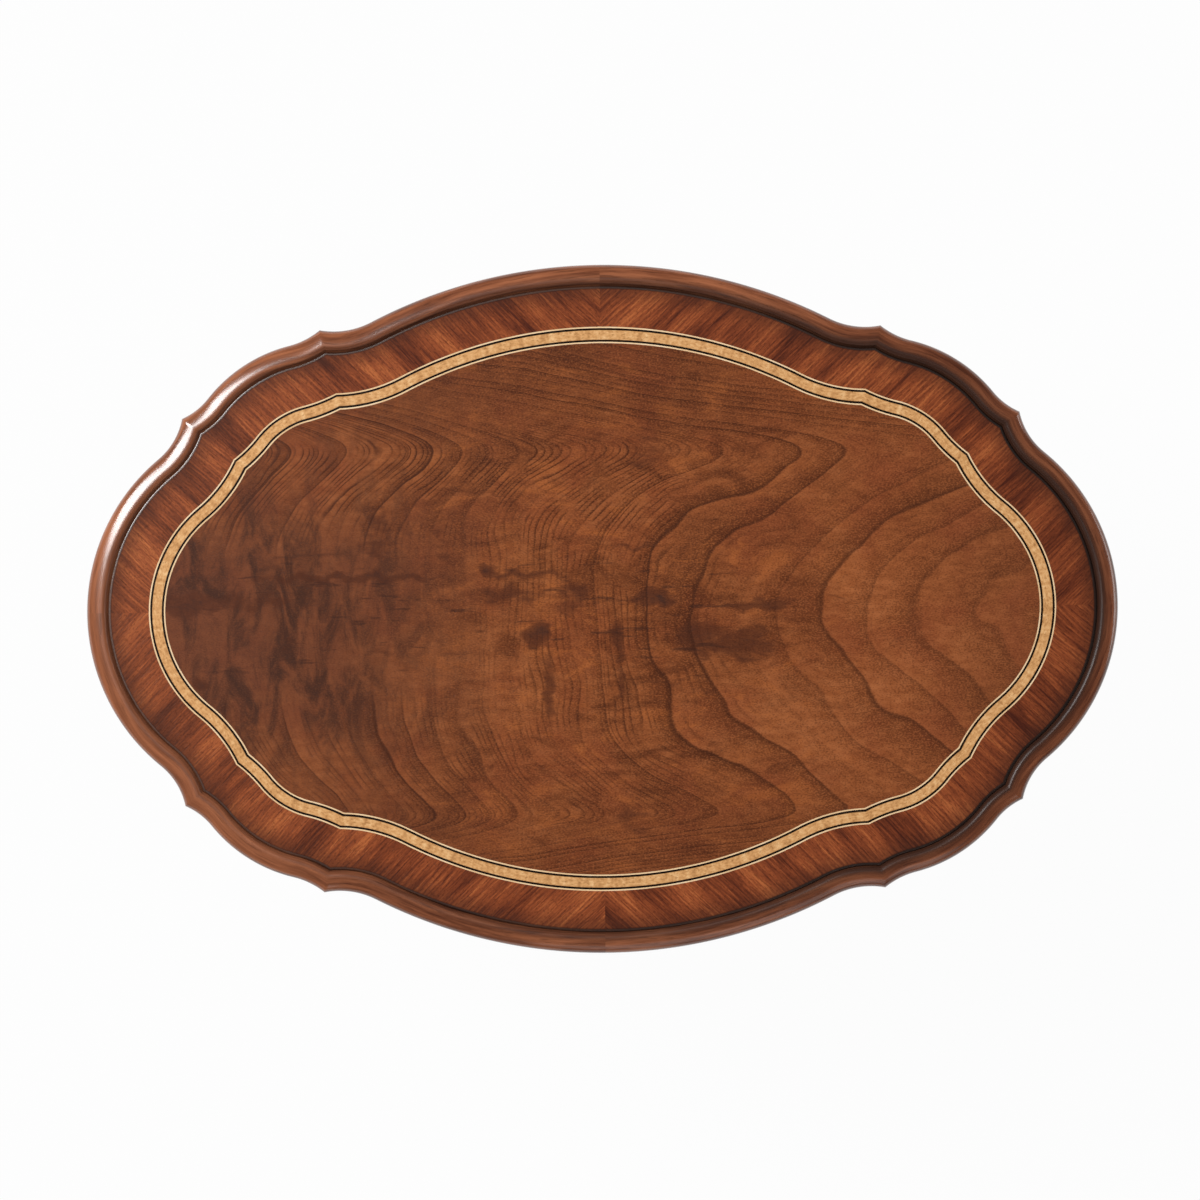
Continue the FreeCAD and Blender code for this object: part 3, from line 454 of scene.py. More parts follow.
def mitre(near, far, cusp, radius, depth):
    """Corner of the two hollows beside a cusp, moved inward: both centres keep, both radii grow."""
    middle = (HOLLOW_CENTRES[near] + HOLLOW_CENTRES[far]) / 2
    half_gap = np.hypot(*(HOLLOW_CENTRES[far] - middle))
    inward = (cusp - middle) / np.hypot(*(cusp - middle))
    return middle + inward * np.sqrt((radius + depth) ** 2 - half_gap ** 2)[:, None]


def arc(centre, radius, first, last, steps):
    """Points on an arc for every depth, from the bearing of first to that of last, as (step, depth, 2)."""
    start = np.arctan2(*(first - centre).T[::-1])
    sweep = (np.arctan2(*(last - centre).T[::-1]) - start + np.pi) % (2 * np.pi) - np.pi
    angle = start + sweep * np.linspace(0, 1, steps + 1)[:, None]
    return centre + radius[:, None] * np.dstack([np.cos(angle), np.sin(angle)])


def joined(runs):
    """Runs of points end to end, each start left out where it repeats the end before it."""
    return np.concatenate([runs[0]] + [run[1:] for run in runs[1:]])


def half_run(name, depth, steps, stop=None):
    """Half a side of the outline, moved inward by depth, from its middle past its cusp to the lobe.

    It is an arc of the swell and one of each hollow beside the cusp; a stop ends it before the lobe.
    """
    centre, radius, crown, cusp, hollow, (near, far) = HALF_SIDES[name]
    corner = mitre(near, far, cusp, hollow, depth)
    stop = HOLLOW_TOUCHES[far] if stop is None else stop
    points = (crown, HOLLOW_TOUCHES[near], stop)
    crown, touch, stop = [np.broadcast_to(point, corner.shape) for point in points]
    return joined([
        arc(centre, radius - depth, crown, touch, steps),
        arc(HOLLOW_CENTRES[near], hollow + depth, touch, corner, steps // 2),
        arc(HOLLOW_CENTRES[far], hollow + depth, corner, stop, steps // 2),
    ])


def quarter_path(depth, steps=OUTLINE_STEPS):
    """Outline of the back right quarter at every depth, from the middle of the side to that of the end."""
    first, last = [np.broadcast_to(touch, (len(depth), 2)) for touch in HOLLOW_TOUCHES[1:3]]
    lobe = arc(LOBE_CENTRE, LOBE_RADIUS - depth, first, last, steps)
    return joined([half_run("side", depth, steps), lobe, half_run("end", depth, steps)[::-1]])


def beside_leg(depth, hollow, radius, aside):
    """Points of a hollow's arc, moved inward by depth, at a distance to one side of the leg's own line."""
    centre = HOLLOW_CENTRES[hollow] - LOBE_CENTRE
    out = centre @ LEG_OUT - np.sqrt((radius + depth) ** 2 - (aside - centre @ LEG_ASIDE) ** 2)
    return LOBE_CENTRE + out[:, None] * LEG_OUT + aside * LEG_ASIDE


def arch_height(run, half_span, rise, shoulder):
    """Rise of a rail's lower edge: one flat circle between two shoulder circles tangent to it."""
    both = (half_span ** 2 + rise ** 2) / (2 * rise)
    large = both - shoulder
    touch = half_span * large / both
    inside = np.abs(run)
    flat = rise - large + np.sqrt(large ** 2 - np.minimum(inside, touch) ** 2)
    swept = shoulder - np.sqrt(shoulder ** 2 - np.clip(half_span - inside, 0, half_span - touch) ** 2)
    return np.where(inside < touch, flat, swept)


def ringed(sides):
    """Rings of points from the sides of a section, each a plan path and its heights."""
    return np.stack([np.column_stack([plan, height]) for plan, height in sides], axis=1)


def rail_skin(path, low):
    """Skin of a rail: face and back follow the path at two depths, between a lower edge and the top."""
    face, back = path[:, 0], path[:, 1]
    high = np.full(len(path), UNDERSIDE)
    return ringed([(face, high), (face, low[:, 0]), (back, low[:, 1]), (back, high)])


rail_mahogany = polished_mahogany("rail_mahogany")
rail_depths = np.array([APRON_INSET, APRON_INSET + APRON_THICKNESS])
side_stop = beside_leg(rail_depths, 1, SIDE_HOLLOW, POST_WIDTH / 2)
end_stop = beside_leg(rail_depths, 2, END_HOLLOW, -POST_WIDTH / 2)
half_side = half_run("side", rail_depths, OUTLINE_STEPS, side_stop)
half_end = half_run("end", rail_depths, OUTLINE_STEPS, end_stop)
side_path = np.concatenate([half_side[:0:-1] * (-1, 1), half_side])
end_path = np.concatenate([half_end[:0:-1] * (1, -1), half_end])
side_low = APRON_BASE + arch_height(side_path[..., 0], SIDE_ARCH_HALF, SIDE_ARCH_RISE, ARCH_SHOULDER)
end_low = APRON_BASE + arch_height(end_path[..., 1], END_ARCH_HALF, END_ARCH_RISE, ARCH_SHOULDER)
side_rail = rail_skin(side_path, side_low)
end_rail = rail_skin(end_path, end_low)
rails = {
    "back": (side_rail, (1, 1, 1)),
    "front": (side_rail, (1, -1, 1)),
    "right": (end_rail, (1, 1, 1)),
    "left": (end_rail, (-1, 1, 1)),
}
for number, (side, (skin, flips)) in enumerate(rails.items()):
    add_piece(f"shaped_rail_{side}", [skin * flips], rail_mahogany,
              [f"apron_rail_{side}"], uv=[grain_map(skin, RAIL_CUT_START + number * RAIL_CUT_STEP)])

# Knee brackets: small shaped blocks glued under the rails on both sides of each leg, cut from the
# same mahogany. They carry the curve of the knee into the line of the apron.
BRACKET_REACH = 0.030
BRACKET_DROP = 0.034
BRACKET_TOE = 0.003
BRACKET_SUNK = 0.006
BRACKET_STEPS = 60
BRACKET_OUTLINE_STEPS = 240
BRACKET_CUT_START = 15.0
BRACKET_CUT_STEP = 0.4


def bracket_skin(way):
    """Skin of a bracket: along the outline from inside the leg to its toe, its lower edge a quarter circle.

    The outline at each depth is read off at even distances to one side of the leg's own line.
    """
    aside = np.linspace(POST_WIDTH / 2 - BRACKET_SUNK, POST_WIDTH / 2 + BRACKET_REACH, BRACKET_STEPS)
    outline = quarter_path(rail_depths, BRACKET_OUTLINE_STEPS)[::-1] - LOBE_CENTRE
    across, outward = outline @ LEG_ASIDE, outline @ LEG_OUT
    face, back = [
        LOBE_CENTRE + np.interp(way * aside, across[:, k], outward[:, k])[:, None] * LEG_OUT
        + (way * aside)[:, None] * LEG_ASIDE for k in range(2)
    ]
    run = np.clip(aside - POST_WIDTH / 2, 0, BRACKET_REACH) / BRACKET_REACH
    low = APRON_BASE - BRACKET_TOE - (BRACKET_DROP - BRACKET_TOE) * (1 - np.sqrt(1 - (1 - run) ** 2))
    high = np.full(len(aside), APRON_BASE)
    return ringed([(face, high), (face, low), (back, low), (back, high)])


for number, (corner, (flip_x, flip_y)) in enumerate(CORNERS.items()):
    for side, way in (("side", 1), ("end", -1)):
        skin = bracket_skin(way) * (flip_x, flip_y, 1)
        cut = BRACKET_CUT_START + number + way * BRACKET_CUT_STEP
        add_piece(f"shaped_bracket_{side}_{corner}", [skin], rail_mahogany,
                  [f"knee_bracket_{side}_{corner}"], uv=[grain_map(skin, cut)])

# Corner braces and glue blocks: pale, unpolished beech behind the apron, sawn to fit the rails. The
# braces are screwed to the posts, and the blocks are rubbed into the angle under the top with glue.


def sawn_beech(name):
    """Pale raw timber on Object coordinates: faint streaks, short flecks and saw dust in the pores."""
    material, tree = new_material(name)
    sizes = (160.0, 700.0, 14.0, 0.15)
    stops = [(0.30, colour(150, 112, 76)), (0.52, colour(186, 146, 104)), (0.72, colour(205, 170, 128))]
    base, streak, pore = timber_base(
        tree, object_place(tree), sizes, (0.5, 0.55), stops, 0.35, colour(120, 84, 54))
    height = maths(tree, "MULTIPLY_ADD", pore, -0.6, streak)
    finish_wood(tree, base, span(tree, streak, 0.2, 0.8, 0.72, 0.6), height, 0.0004, 0.0, 0.3, 0.3)
    return material


def dress(nodes, material):
    """Give CAD pieces that stay as they are their material."""
    for node in nodes:
        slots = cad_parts[node].data.materials
        slots.clear()
        slots.append(material)


beech = sawn_beech("sawn_beech")
dress([f"corner_brace_{corner}" for corner in CORNERS], beech)
dress([f"glue_block_{side}" for side in ("back", "front", "right", "left")], beech)

# Screws: pan-head steel wood screws, two through each brace into the post and one up through it into
# the top. Their heads have a cross recess, and the zinc finish is dulled and a little scratched.
SCREW_RADIUS = 0.00225
HEAD_RADIUS = 0.0045
HEAD_HEIGHT = 0.003
HEAD_DOME = 0.0012
HEAD_RINGS = 14
RECESS_WIDTH = 0.0011
RECESS_DEPTH = 0.0013
RECESS_REACH = 0.0026
POINT_LENGTH = 0.004
POINT_RADIUS = 0.0003
AXIS_RADIUS = 0.00002
TURN_STEPS = 48
BRACE_SCREW_BITE = 0.0128
TOP_SCREW_BITE = 0.0118
POST_BACK = POST_PROUD - POST_DEPTH
BRACE_THICKNESS = 0.022
BRACE_HEIGHT = 0.036
BRACE_SCREW_SPREAD = 0.022


def turned(radius, along):
    """Skin of a piece turned about X: a ring of points at each radius, at its distance along."""
    turn = np.linspace(0, 2 * np.pi, TURN_STEPS, endpoint=False)
    side, rise = radius[:, None] * np.cos(turn), radius[:, None] * np.sin(turn)
    return np.dstack([np.broadcast_to(along[:, None], side.shape), side, rise])


def screw_skin(length):
    """Skin of a screw turned about X, head first: a domed head with a cross sunk in it, shank and point.

    The head's height falls with the square of the radius; the cross is where either side offset is small.
    """
    radius = np.concatenate([
        np.linspace(AXIS_RADIUS, HEAD_RADIUS, HEAD_RINGS),
        [HEAD_RADIUS, SCREW_RADIUS, SCREW_RADIUS, POINT_RADIUS, AXIS_RADIUS],
    ])
    along = np.concatenate([
        -HEAD_HEIGHT + HEAD_DOME * np.linspace(0, 1, HEAD_RINGS) ** 2,
        [0.0, 0.0, length - POINT_LENGTH, length, length],
    ])
    skin = turned(radius, along)
    side, rise = np.abs(skin[:HEAD_RINGS, :, 1]), np.abs(skin[:HEAD_RINGS, :, 2])
    in_cross = (np.minimum(side, rise) < RECESS_WIDTH / 2) & (np.hypot(side, rise) < RECESS_REACH)
    skin[:HEAD_RINGS, :, 0] += RECESS_DEPTH * in_cross
    return skin


def in_leg_frame(points, reach, aside, height, flips):
    """Points (out, aside, up) of the leg's own frame, moved to a place in it and to one corner."""
    plan = LEG_PLACE + (points[..., :1] + reach) * LEG_OUT + (points[..., 1:2] + aside) * LEG_ASIDE
    return np.dstack([plan * flips, points[..., 2:] + height])


def dull_zinc(name):
    """Zinc-plated steel on Object coordinates: grey metal with clouded roughness and fine scratches."""
    material, tree = new_material(name)
    place = object_place(tree)
    cloud = noise(tree, place, 260.0)
    scratch = span(tree, noise(tree, scaled(tree, place, (900.0, 60.0, 900.0)), 1.0, 2.0), 0.58, 0.72)
    base = mixed(tree, cloud, colour(150, 150, 146), colour(196, 194, 186))
    roughness = span(tree, cloud, 0.3, 0.7, 0.28, 0.5)
    finish(tree, scratch, 0.3, 0.0001, {"Base Color": base, "Metallic": 1.0, "Roughness": roughness})
    return material


zinc = dull_zinc("dull_zinc")
brace_base = UNDERSIDE - BRACE_HEIGHT
brace_screw = screw_skin(BRACE_THICKNESS + BRACE_SCREW_BITE)
top_screw = screw_skin(BRACE_HEIGHT + TOP_SCREW_BITE)[..., [1, 2, 0]]
brace_screws = []
top_screws = []
for flips in CORNERS.values():
    for aside in (BRACE_SCREW_SPREAD / 2, -BRACE_SCREW_SPREAD / 2):
        reach = POST_BACK - BRACE_THICKNESS
        brace_screws.append(in_leg_frame(brace_screw, reach, aside, brace_base + BRACE_HEIGHT / 2, flips))
    top_screws.append(in_leg_frame(top_screw, POST_BACK - BRACE_THICKNESS / 2, 0, brace_base, flips))
add_piece("cross_head_brace_screws", brace_screws, zinc, ["brace_screws"])
add_piece("cross_head_top_screws", top_screws, zinc, ["top_screws"])

# Core board and backing veneer: a stable board under the face veneers, with a plain brown veneer glued
# under it to balance them. Only the backing shows, from below, stained and left without gloss.


def stained_backing(name, dark, middle, light):
    """Plain straight-grained timber on Object coordinates, brown stain rubbed into streaks and pores."""
    material, tree = new_material(name)
    sizes = (120.0, 620.0, 7.0, 0.05)
    stops = [(0.32, dark), (0.52, middle), (0.72, light)]
    base, streak, pore = timber_base(tree, object_place(tree), sizes, (0.4, 0.65), stops, 0.4, dark)
    height = maths(tree, "MULTIPLY_ADD", pore, -0.6, streak)
    finish_wood(tree, base, span(tree, streak, 0.2, 0.8, 0.65, 0.5), height, 0.0003, 0.0, 0.3, 0.4)
    return material


dress(["backing_veneer"], stained_backing(
    "stained_backing", colour(70, 44, 30), colour(104, 68, 46), colour(126, 86, 60)))
dress(["top_core"], stained_backing(
    "core_board", colour(132, 96, 62), colour(168, 130, 90), colour(190, 154, 112)))

# Crossbanding: a wide border of red mahogany veneer in four quarters that butt at the middle of each
# side. Every quarter is cut with its grain on the diagonal, and darkened against the moulding with painted
# shade.
MOULDING_WIDTH = 0.016
CROSSBAND_WIDTH = 0.0254
CROSSBAND_STEPS = 8
GRAIN_ANGLE = math.radians(45)
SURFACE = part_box("centre_veneer")[1].z
CORE_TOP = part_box("centre_veneer")[0].z


def round_path(depth):
    """The whole outline at every depth: the quarter and its three mirror images, end to end."""
    quarter = quarter_path(depth)
    front = quarter[-2::-1] * (1, -1)
    half = np.concatenate([quarter, front])
    return np.concatenate([half, half[-2:0:-1] * (-1, 1)])


def strip_skin(path):
    """Skin of a veneer strip: a flat section between two depths and between the core and the surface."""
    outer, inner = path[:, 0], path[:, -1]
    low, high = np.full(len(path), CORE_TOP), np.full(len(path), SURFACE)
    top = [(path[:, k], high) for k in range(path.shape[1])]
    return ringed(top + [(inner, low), (outer, low)])


def diagonal_map(skin, angle):
    """UV in metres on the skin's plan: distance along a grain at an angle to X, then across it."""
    closed = wrapped(skin)
    x, y = closed[..., 0], closed[..., 1]
    return np.dstack([
        x * math.cos(angle) + y * math.sin(angle),
        y * math.cos(angle) - x * math.sin(angle),
    ])


def painted_side_light(tree, base, pale, deep):
    """A timber's colour with painted light: paler and browner to the left end, deeper to the right one."""
    along = axes(tree, object_place(tree))[0]
    return layered(tree, base, [
        (span(tree, along, -0.33, -0.10, pale, 0.0), (184, 116, 80)),
        (span(tree, along, 0.10, 0.33, 0.0, deep), (58, 24, 14)),
    ])


def crossband_veneer(name):
    """Red-brown mahogany veneer along UV: broad dark ribbons, fine streaks, pores, painted shade by depth.
    """
    material, tree = new_material(name)
    uv = grain_uv(tree)
    streak, pore, cloud = grain(tree, uv, 640.0, 1200.0, 26.0, 0.06)
    ribbon = noise(tree, scaled(tree, uv, (5.0, 46.0, 1.0)), 1.0, 3.0, 0.5)
    tone = maths(tree, "MULTIPLY_ADD", streak, 0.60, product(tree, ribbon, 0.60))
    base = ramp(tree, tone, [
        (0.45, colour(74, 34, 24)),
        (0.56, colour(116, 57, 34)),
        (0.65, colour(146, 75, 43)),
        (0.76, colour(180, 102, 58)),
    ])
    base = mixed(tree, product(tree, pore, 0.50), base, colour(56, 26, 17))
    # Painted light: paler towards the left end, deeper towards the right.
    base = painted_side_light(tree, base, 0.08, 0.12)
    depth = attribute(tree, "depth")
    # Painted shade: darker towards the moulding, broken up by clouds.
    shade = maths(tree, "MULTIPLY_ADD", cloud, 0.24, span(tree, depth, 0.015, 0.030, 0.42, -0.12))
    fleck = noise(tree, scaled(tree, uv, (0.5, 1.0, 1.0)), 900.0, 2.0, 0.6)
    base = layered(tree, base, [
        (shade, (60, 36, 28)),
        (span(tree, depth, 0.0160, 0.0170, 0.50, 0.0), (18, 10, 8)),
        (span(tree, fleck, 0.50, 0.66, 0.0, 0.40), (58, 26, 16)),
    ])
    height = maths(tree, "MULTIPLY_ADD", pore, -0.6, streak)
    finish_wood(tree, base, span(tree, streak, 0.2, 0.8, 0.32, 0.22), height, 0.0001, 0.3, 0.06, 0.05)
    return material


crossband = crossband_veneer("crossband_veneer")
crossband_depths = MOULDING_WIDTH + CROSSBAND_WIDTH * np.linspace(0, 1, CROSSBAND_STEPS + 1) ** 1.5
crossband_skin = strip_skin(quarter_path(crossband_depths))
depth_values = np.concatenate([crossband_depths, crossband_depths[[-1, 0]]])
for corner, (flip_x, flip_y) in CORNERS.items():
    skin = crossband_skin * (flip_x, flip_y, 1)
    add_piece(f"diagonal_crossband_{corner}", [skin], crossband,
              [f"crossband_{corner}"], uv=[diagonal_map(skin, GRAIN_ANGLE * flip_x * flip_y)],
              values={"depth": np.broadcast_to(depth_values, skin.shape[:2])})

# Inlaid lines: a satinwood band between two strings of ebony and two of boxwood, let in side by side
# in one groove along the crossbanding, scraped flush and lacquered with the rest.
BOXWOOD_WIDTH = 0.0010
EBONY_WIDTH = 0.0011
SATINWOOD_WIDTH = 0.0068
EDGE_STAIN = 0.0005
LINE_CUT_STEP = 2.9


def line_timber(name, shades, streaks, pores, draw, speck, ripple, width, stain):
    """Fine timber along a line's UV: streaks, dark specks, a ripple, and edges stained by ebony dust."""
    material, tree = new_material(name)
    dark, middle, light = [colour(*shade) for shade in shades]
    uv = grain_uv(tree)
    streak, pore, cloud = grain(tree, uv, streaks, pores, 40.0, draw)
    wave = noise(tree, scaled(tree, uv, (170.0, 25.0, 1.0)), 1.0, 2.0)
    tone = maths(tree, "MULTIPLY_ADD", wave, ripple, product(tree, streak, 1.0 - ripple))
    base = ramp(tree, tone, [(0.30, dark), (0.50, middle), (0.70, light)])
    base = mixed(tree, product(tree, pore, speck), base, dark)
    across = axes(tree, uv)[1]
    inside = maths(tree, "MINIMUM", across, maths(tree, "SUBTRACT", width, across))
    base = mixed(tree, span(tree, inside, 0.0001, EDGE_STAIN, stain, 0.0), base, colour(30, 18, 12))
    roughness = span(tree, cloud, 0.3, 0.7, 0.22, 0.30)
    finish_wood(tree, base, roughness, tone, 0.0001, 0.25, 0.06, 0.05)
    return material


boxwood_shades = [(226, 182, 132), (250, 214, 168), (255, 230, 196)]
ebony_shades = [(5, 3, 2), (10, 6, 5), (24, 14, 12)]
satinwood_shades = [(150, 100, 56), (214, 160, 104), (244, 202, 148)]
boxwood = line_timber("boxwood_line", boxwood_shades, 400.0, 1500.0, 0.1, 0.2, 0.2, BOXWOOD_WIDTH, 0.3)
ebony = line_timber("ebony_line", ebony_shades, 400.0, 1500.0, 0.1, 0.3, 0.1, EBONY_WIDTH, 0.5)
satinwood = line_timber(
    "satinwood_band", satinwood_shades, 560.0, 760.0, 0.6, 0.55, 0.45, SATINWOOD_WIDTH, 0.9)
line_courses = [
    ("boxwood_string_outer", BOXWOOD_WIDTH, boxwood, "boxwood"),
    ("ebony_string_outer", EBONY_WIDTH, ebony, "ebony"),
    ("satinwood_band", SATINWOOD_WIDTH, satinwood, "satinwood"),
    ("ebony_string_inner", EBONY_WIDTH, ebony, "ebony"),
    ("boxwood_string_inner", BOXWOOD_WIDTH, boxwood, "boxwood"),
]


def ring_map(skin, start):
    """UV of a closed ring in metres: distance along it, its start repeated at its end, and round it."""
    return grain_map(np.concatenate([skin, skin[:1]]), start)


depth = MOULDING_WIDTH + CROSSBAND_WIDTH
for number, (node, width, material, slot) in enumerate(line_courses):
    skin = strip_skin(round_path(np.array([depth, depth + width])))
    add_piece(f"laid_{node}", [skin], material, [node],
              uv=[ring_map(skin, number * LINE_CUT_STEP)], loop=True)
    depth += width

# Centre panel: one sheet of figured walnut veneer, cut near a fork of the tree. Its growth lines run in
# nested noses and hollows about a middle line, and the left end is dark, mottled and knotty.
PANEL_RINGS = 84
FIGURE_AXIS = -0.008
NOSE_ABOVE = 0.112
NOSE_BELOW = 0.130
FALL_ABOVE = 0.029
FALL_BELOW = 0.020
BEND_SIZE = 0.051
BEND_GROWTH = 0.33
BEND_SOFTNESS = 0.55
RING_WIDTH = 0.019
RING_WIDENING = 0.09

# Dark marks in the figure: place along and across, half sizes, strength.
FIGURE_MARKS = np.array([
    (-0.076, 0.027, 0.006, 0.004, 0.9),
    (-0.051, 0.023, 0.024, 0.0025, 0.6),
    (-0.021, 0.039, 0.005, 0.006, 0.4),
    (0.024, 0.041, 0.016, 0.0022, 0.55),
    (0.034, 0.007, 0.014, 0.006, 0.8),
    (0.106, 0.002, 0.022, 0.004, 0.7),
    (0.066, -0.021, 0.016, 0.012, 0.70),
    (0.098, -0.024, 0.016, 0.012, 0.66),
    (-0.044, -0.017, 0.009, 0.008, 0.80),
    (-0.036, -0.052, 0.004, 0.026, 0.62),
    (-0.062, 0.010, 0.022, 0.005, 0.55),
    (-0.020, 0.006, 0.010, 0.012, 0.60),
    (0.010, -0.017, 0.004, 0.009, 0.6),
    (0.012, -0.043, 0.0025, 0.020, 0.5),
    (0.061, -0.050, 0.020, 0.009, 0.3),
    (-0.150, -0.027, 0.009, 0.0025, 0.5),
    (-0.209, -0.023, 0.005, 0.007, 0.4),
    (-0.268, -0.049, 0.006, 0.004, 0.75),
    (-0.168, 0.022, 0.060, 0.0026, 0.7),
    (-0.150, 0.050, 0.010, 0.022, 0.45),
    (-0.106, 0.047, 0.007, 0.018, 0.4),
    (-0.278, 0.005, 0.016, 0.008, 0.7),
    (-0.234, 0.007, 0.030, 0.006, 0.55),
    (0.029, 0.105, 0.014, 0.016, 0.35),
    (0.021, -0.141, 0.016, 0.010, 0.35),
    (0.196, -0.026, 0.009, 0.005, 0.4),
    (0.159, 0.007, 0.045, 0.0014, 0.35),
])


def growth_count(x, y):
    """Number of the growth line at a point: distance along, less a bend that swells to a nose each side.

    The bend rises from the middle line as a power of the distance from it, peaks at the nose, and
    falls off beyond it as a square; the lines lie further apart towards the right end.
    """
    off = y - FIGURE_AXIS
    nose = np.where(off > 0, NOSE_ABOVE, NOSE_BELOW)
    fall = np.where(off > 0, FALL_ABOVE, FALL_BELOW)
    share = np.abs(off) / nose
    right = np.clip((x - 0.02) / 0.10, 0, 1)
    right = right * right * (3 - 2 * right)
    rise = (1 - right) * (np.maximum(share - 0.4, 0) / 0.6) ** 2 + right * share ** 1.6
    beyond = 1.1 - (np.maximum(np.abs(off) - nose + 0.008, 0) / fall) ** 2
    mixing = np.clip(0.5 + (beyond - rise) / (2 * BEND_SOFTNESS), 0, 1)
    bend = beyond * (1 - mixing) + rise * mixing - BEND_SOFTNESS * mixing * (1 - mixing)
    size = BEND_SIZE + BEND_GROWTH * np.clip(x + 0.05, 0, 0.3)
    rings = (x - size * bend) / RING_WIDTH
    return np.where(rings < 0, rings, np.log(1 + RING_WIDENING * np.maximum(rings, 0)) / RING_WIDENING)


def mark_shade(x, y):
    """Strength of the marks: flat-topped bells over their half sizes, their outlines bent by slow sines."""
    place_x, place_y, half_x, half_y, strength = FIGURE_MARKS.T[:, :, None]
    wander_x = 0.0008 * np.sin(310 * y + 1.0) + 0.0008 * np.sin(520 * y + 170 * x)
    wander_y = 0.0016 * np.sin(270 * x + 2.0) + 0.0010 * np.sin(480 * x - 210 * y)
    aside_x = (x + wander_x).ravel() - place_x
    aside_y = (y + wander_y).ravel() - place_y
    far = (aside_x / half_x) ** 2 + (aside_y / half_y) ** 2
    return 1 - np.prod(1 - strength * np.exp(-0.5 * far ** 2), axis=0).reshape(x.shape)


def panel_skin(edge):
    """Skin of a sheet inside an edge: rings from the middle out over the face and back in underneath."""
    share = np.concatenate([np.linspace(0, 1, PANEL_RINGS + 1), [1, 0]])
    plan = share[None, :, None] * edge[:, None, :]
    level = np.where(np.arange(len(share)) <= PANEL_RINGS, SURFACE, CORE_TOP)
    return np.dstack([plan, np.broadcast_to(level, plan.shape[:2])])


def between(tree, value, rise, full, fall, end):
    """One between two soft edges of a value, none outside them."""
    return product(tree, span(tree, value, rise, full), span(tree, value, fall, end, 1.0, 0.0))


def ring_count(tree, place):
    """Running number of a growth ring: the growth attribute, unevenly spaced and a little wavy."""
    growth = attribute(tree, "growth")
    inputs = {"W": growth, "Scale": 0.9, "Detail": 1.0}
    spacing = add_node(tree, "ShaderNodeTexNoise", inputs, noise_dimensions="1D").outputs[0]
    count = maths(tree, "MULTIPLY_ADD", noise(tree, place, 13.0, 2.0, 0.45), 1.4, growth)
    count = maths(tree, "MULTIPLY_ADD", spacing, 0.7, count)
    return maths(tree, "MULTIPLY_ADD", noise(tree, place, 60.0, 2.0, 0.5), 0.10, count)


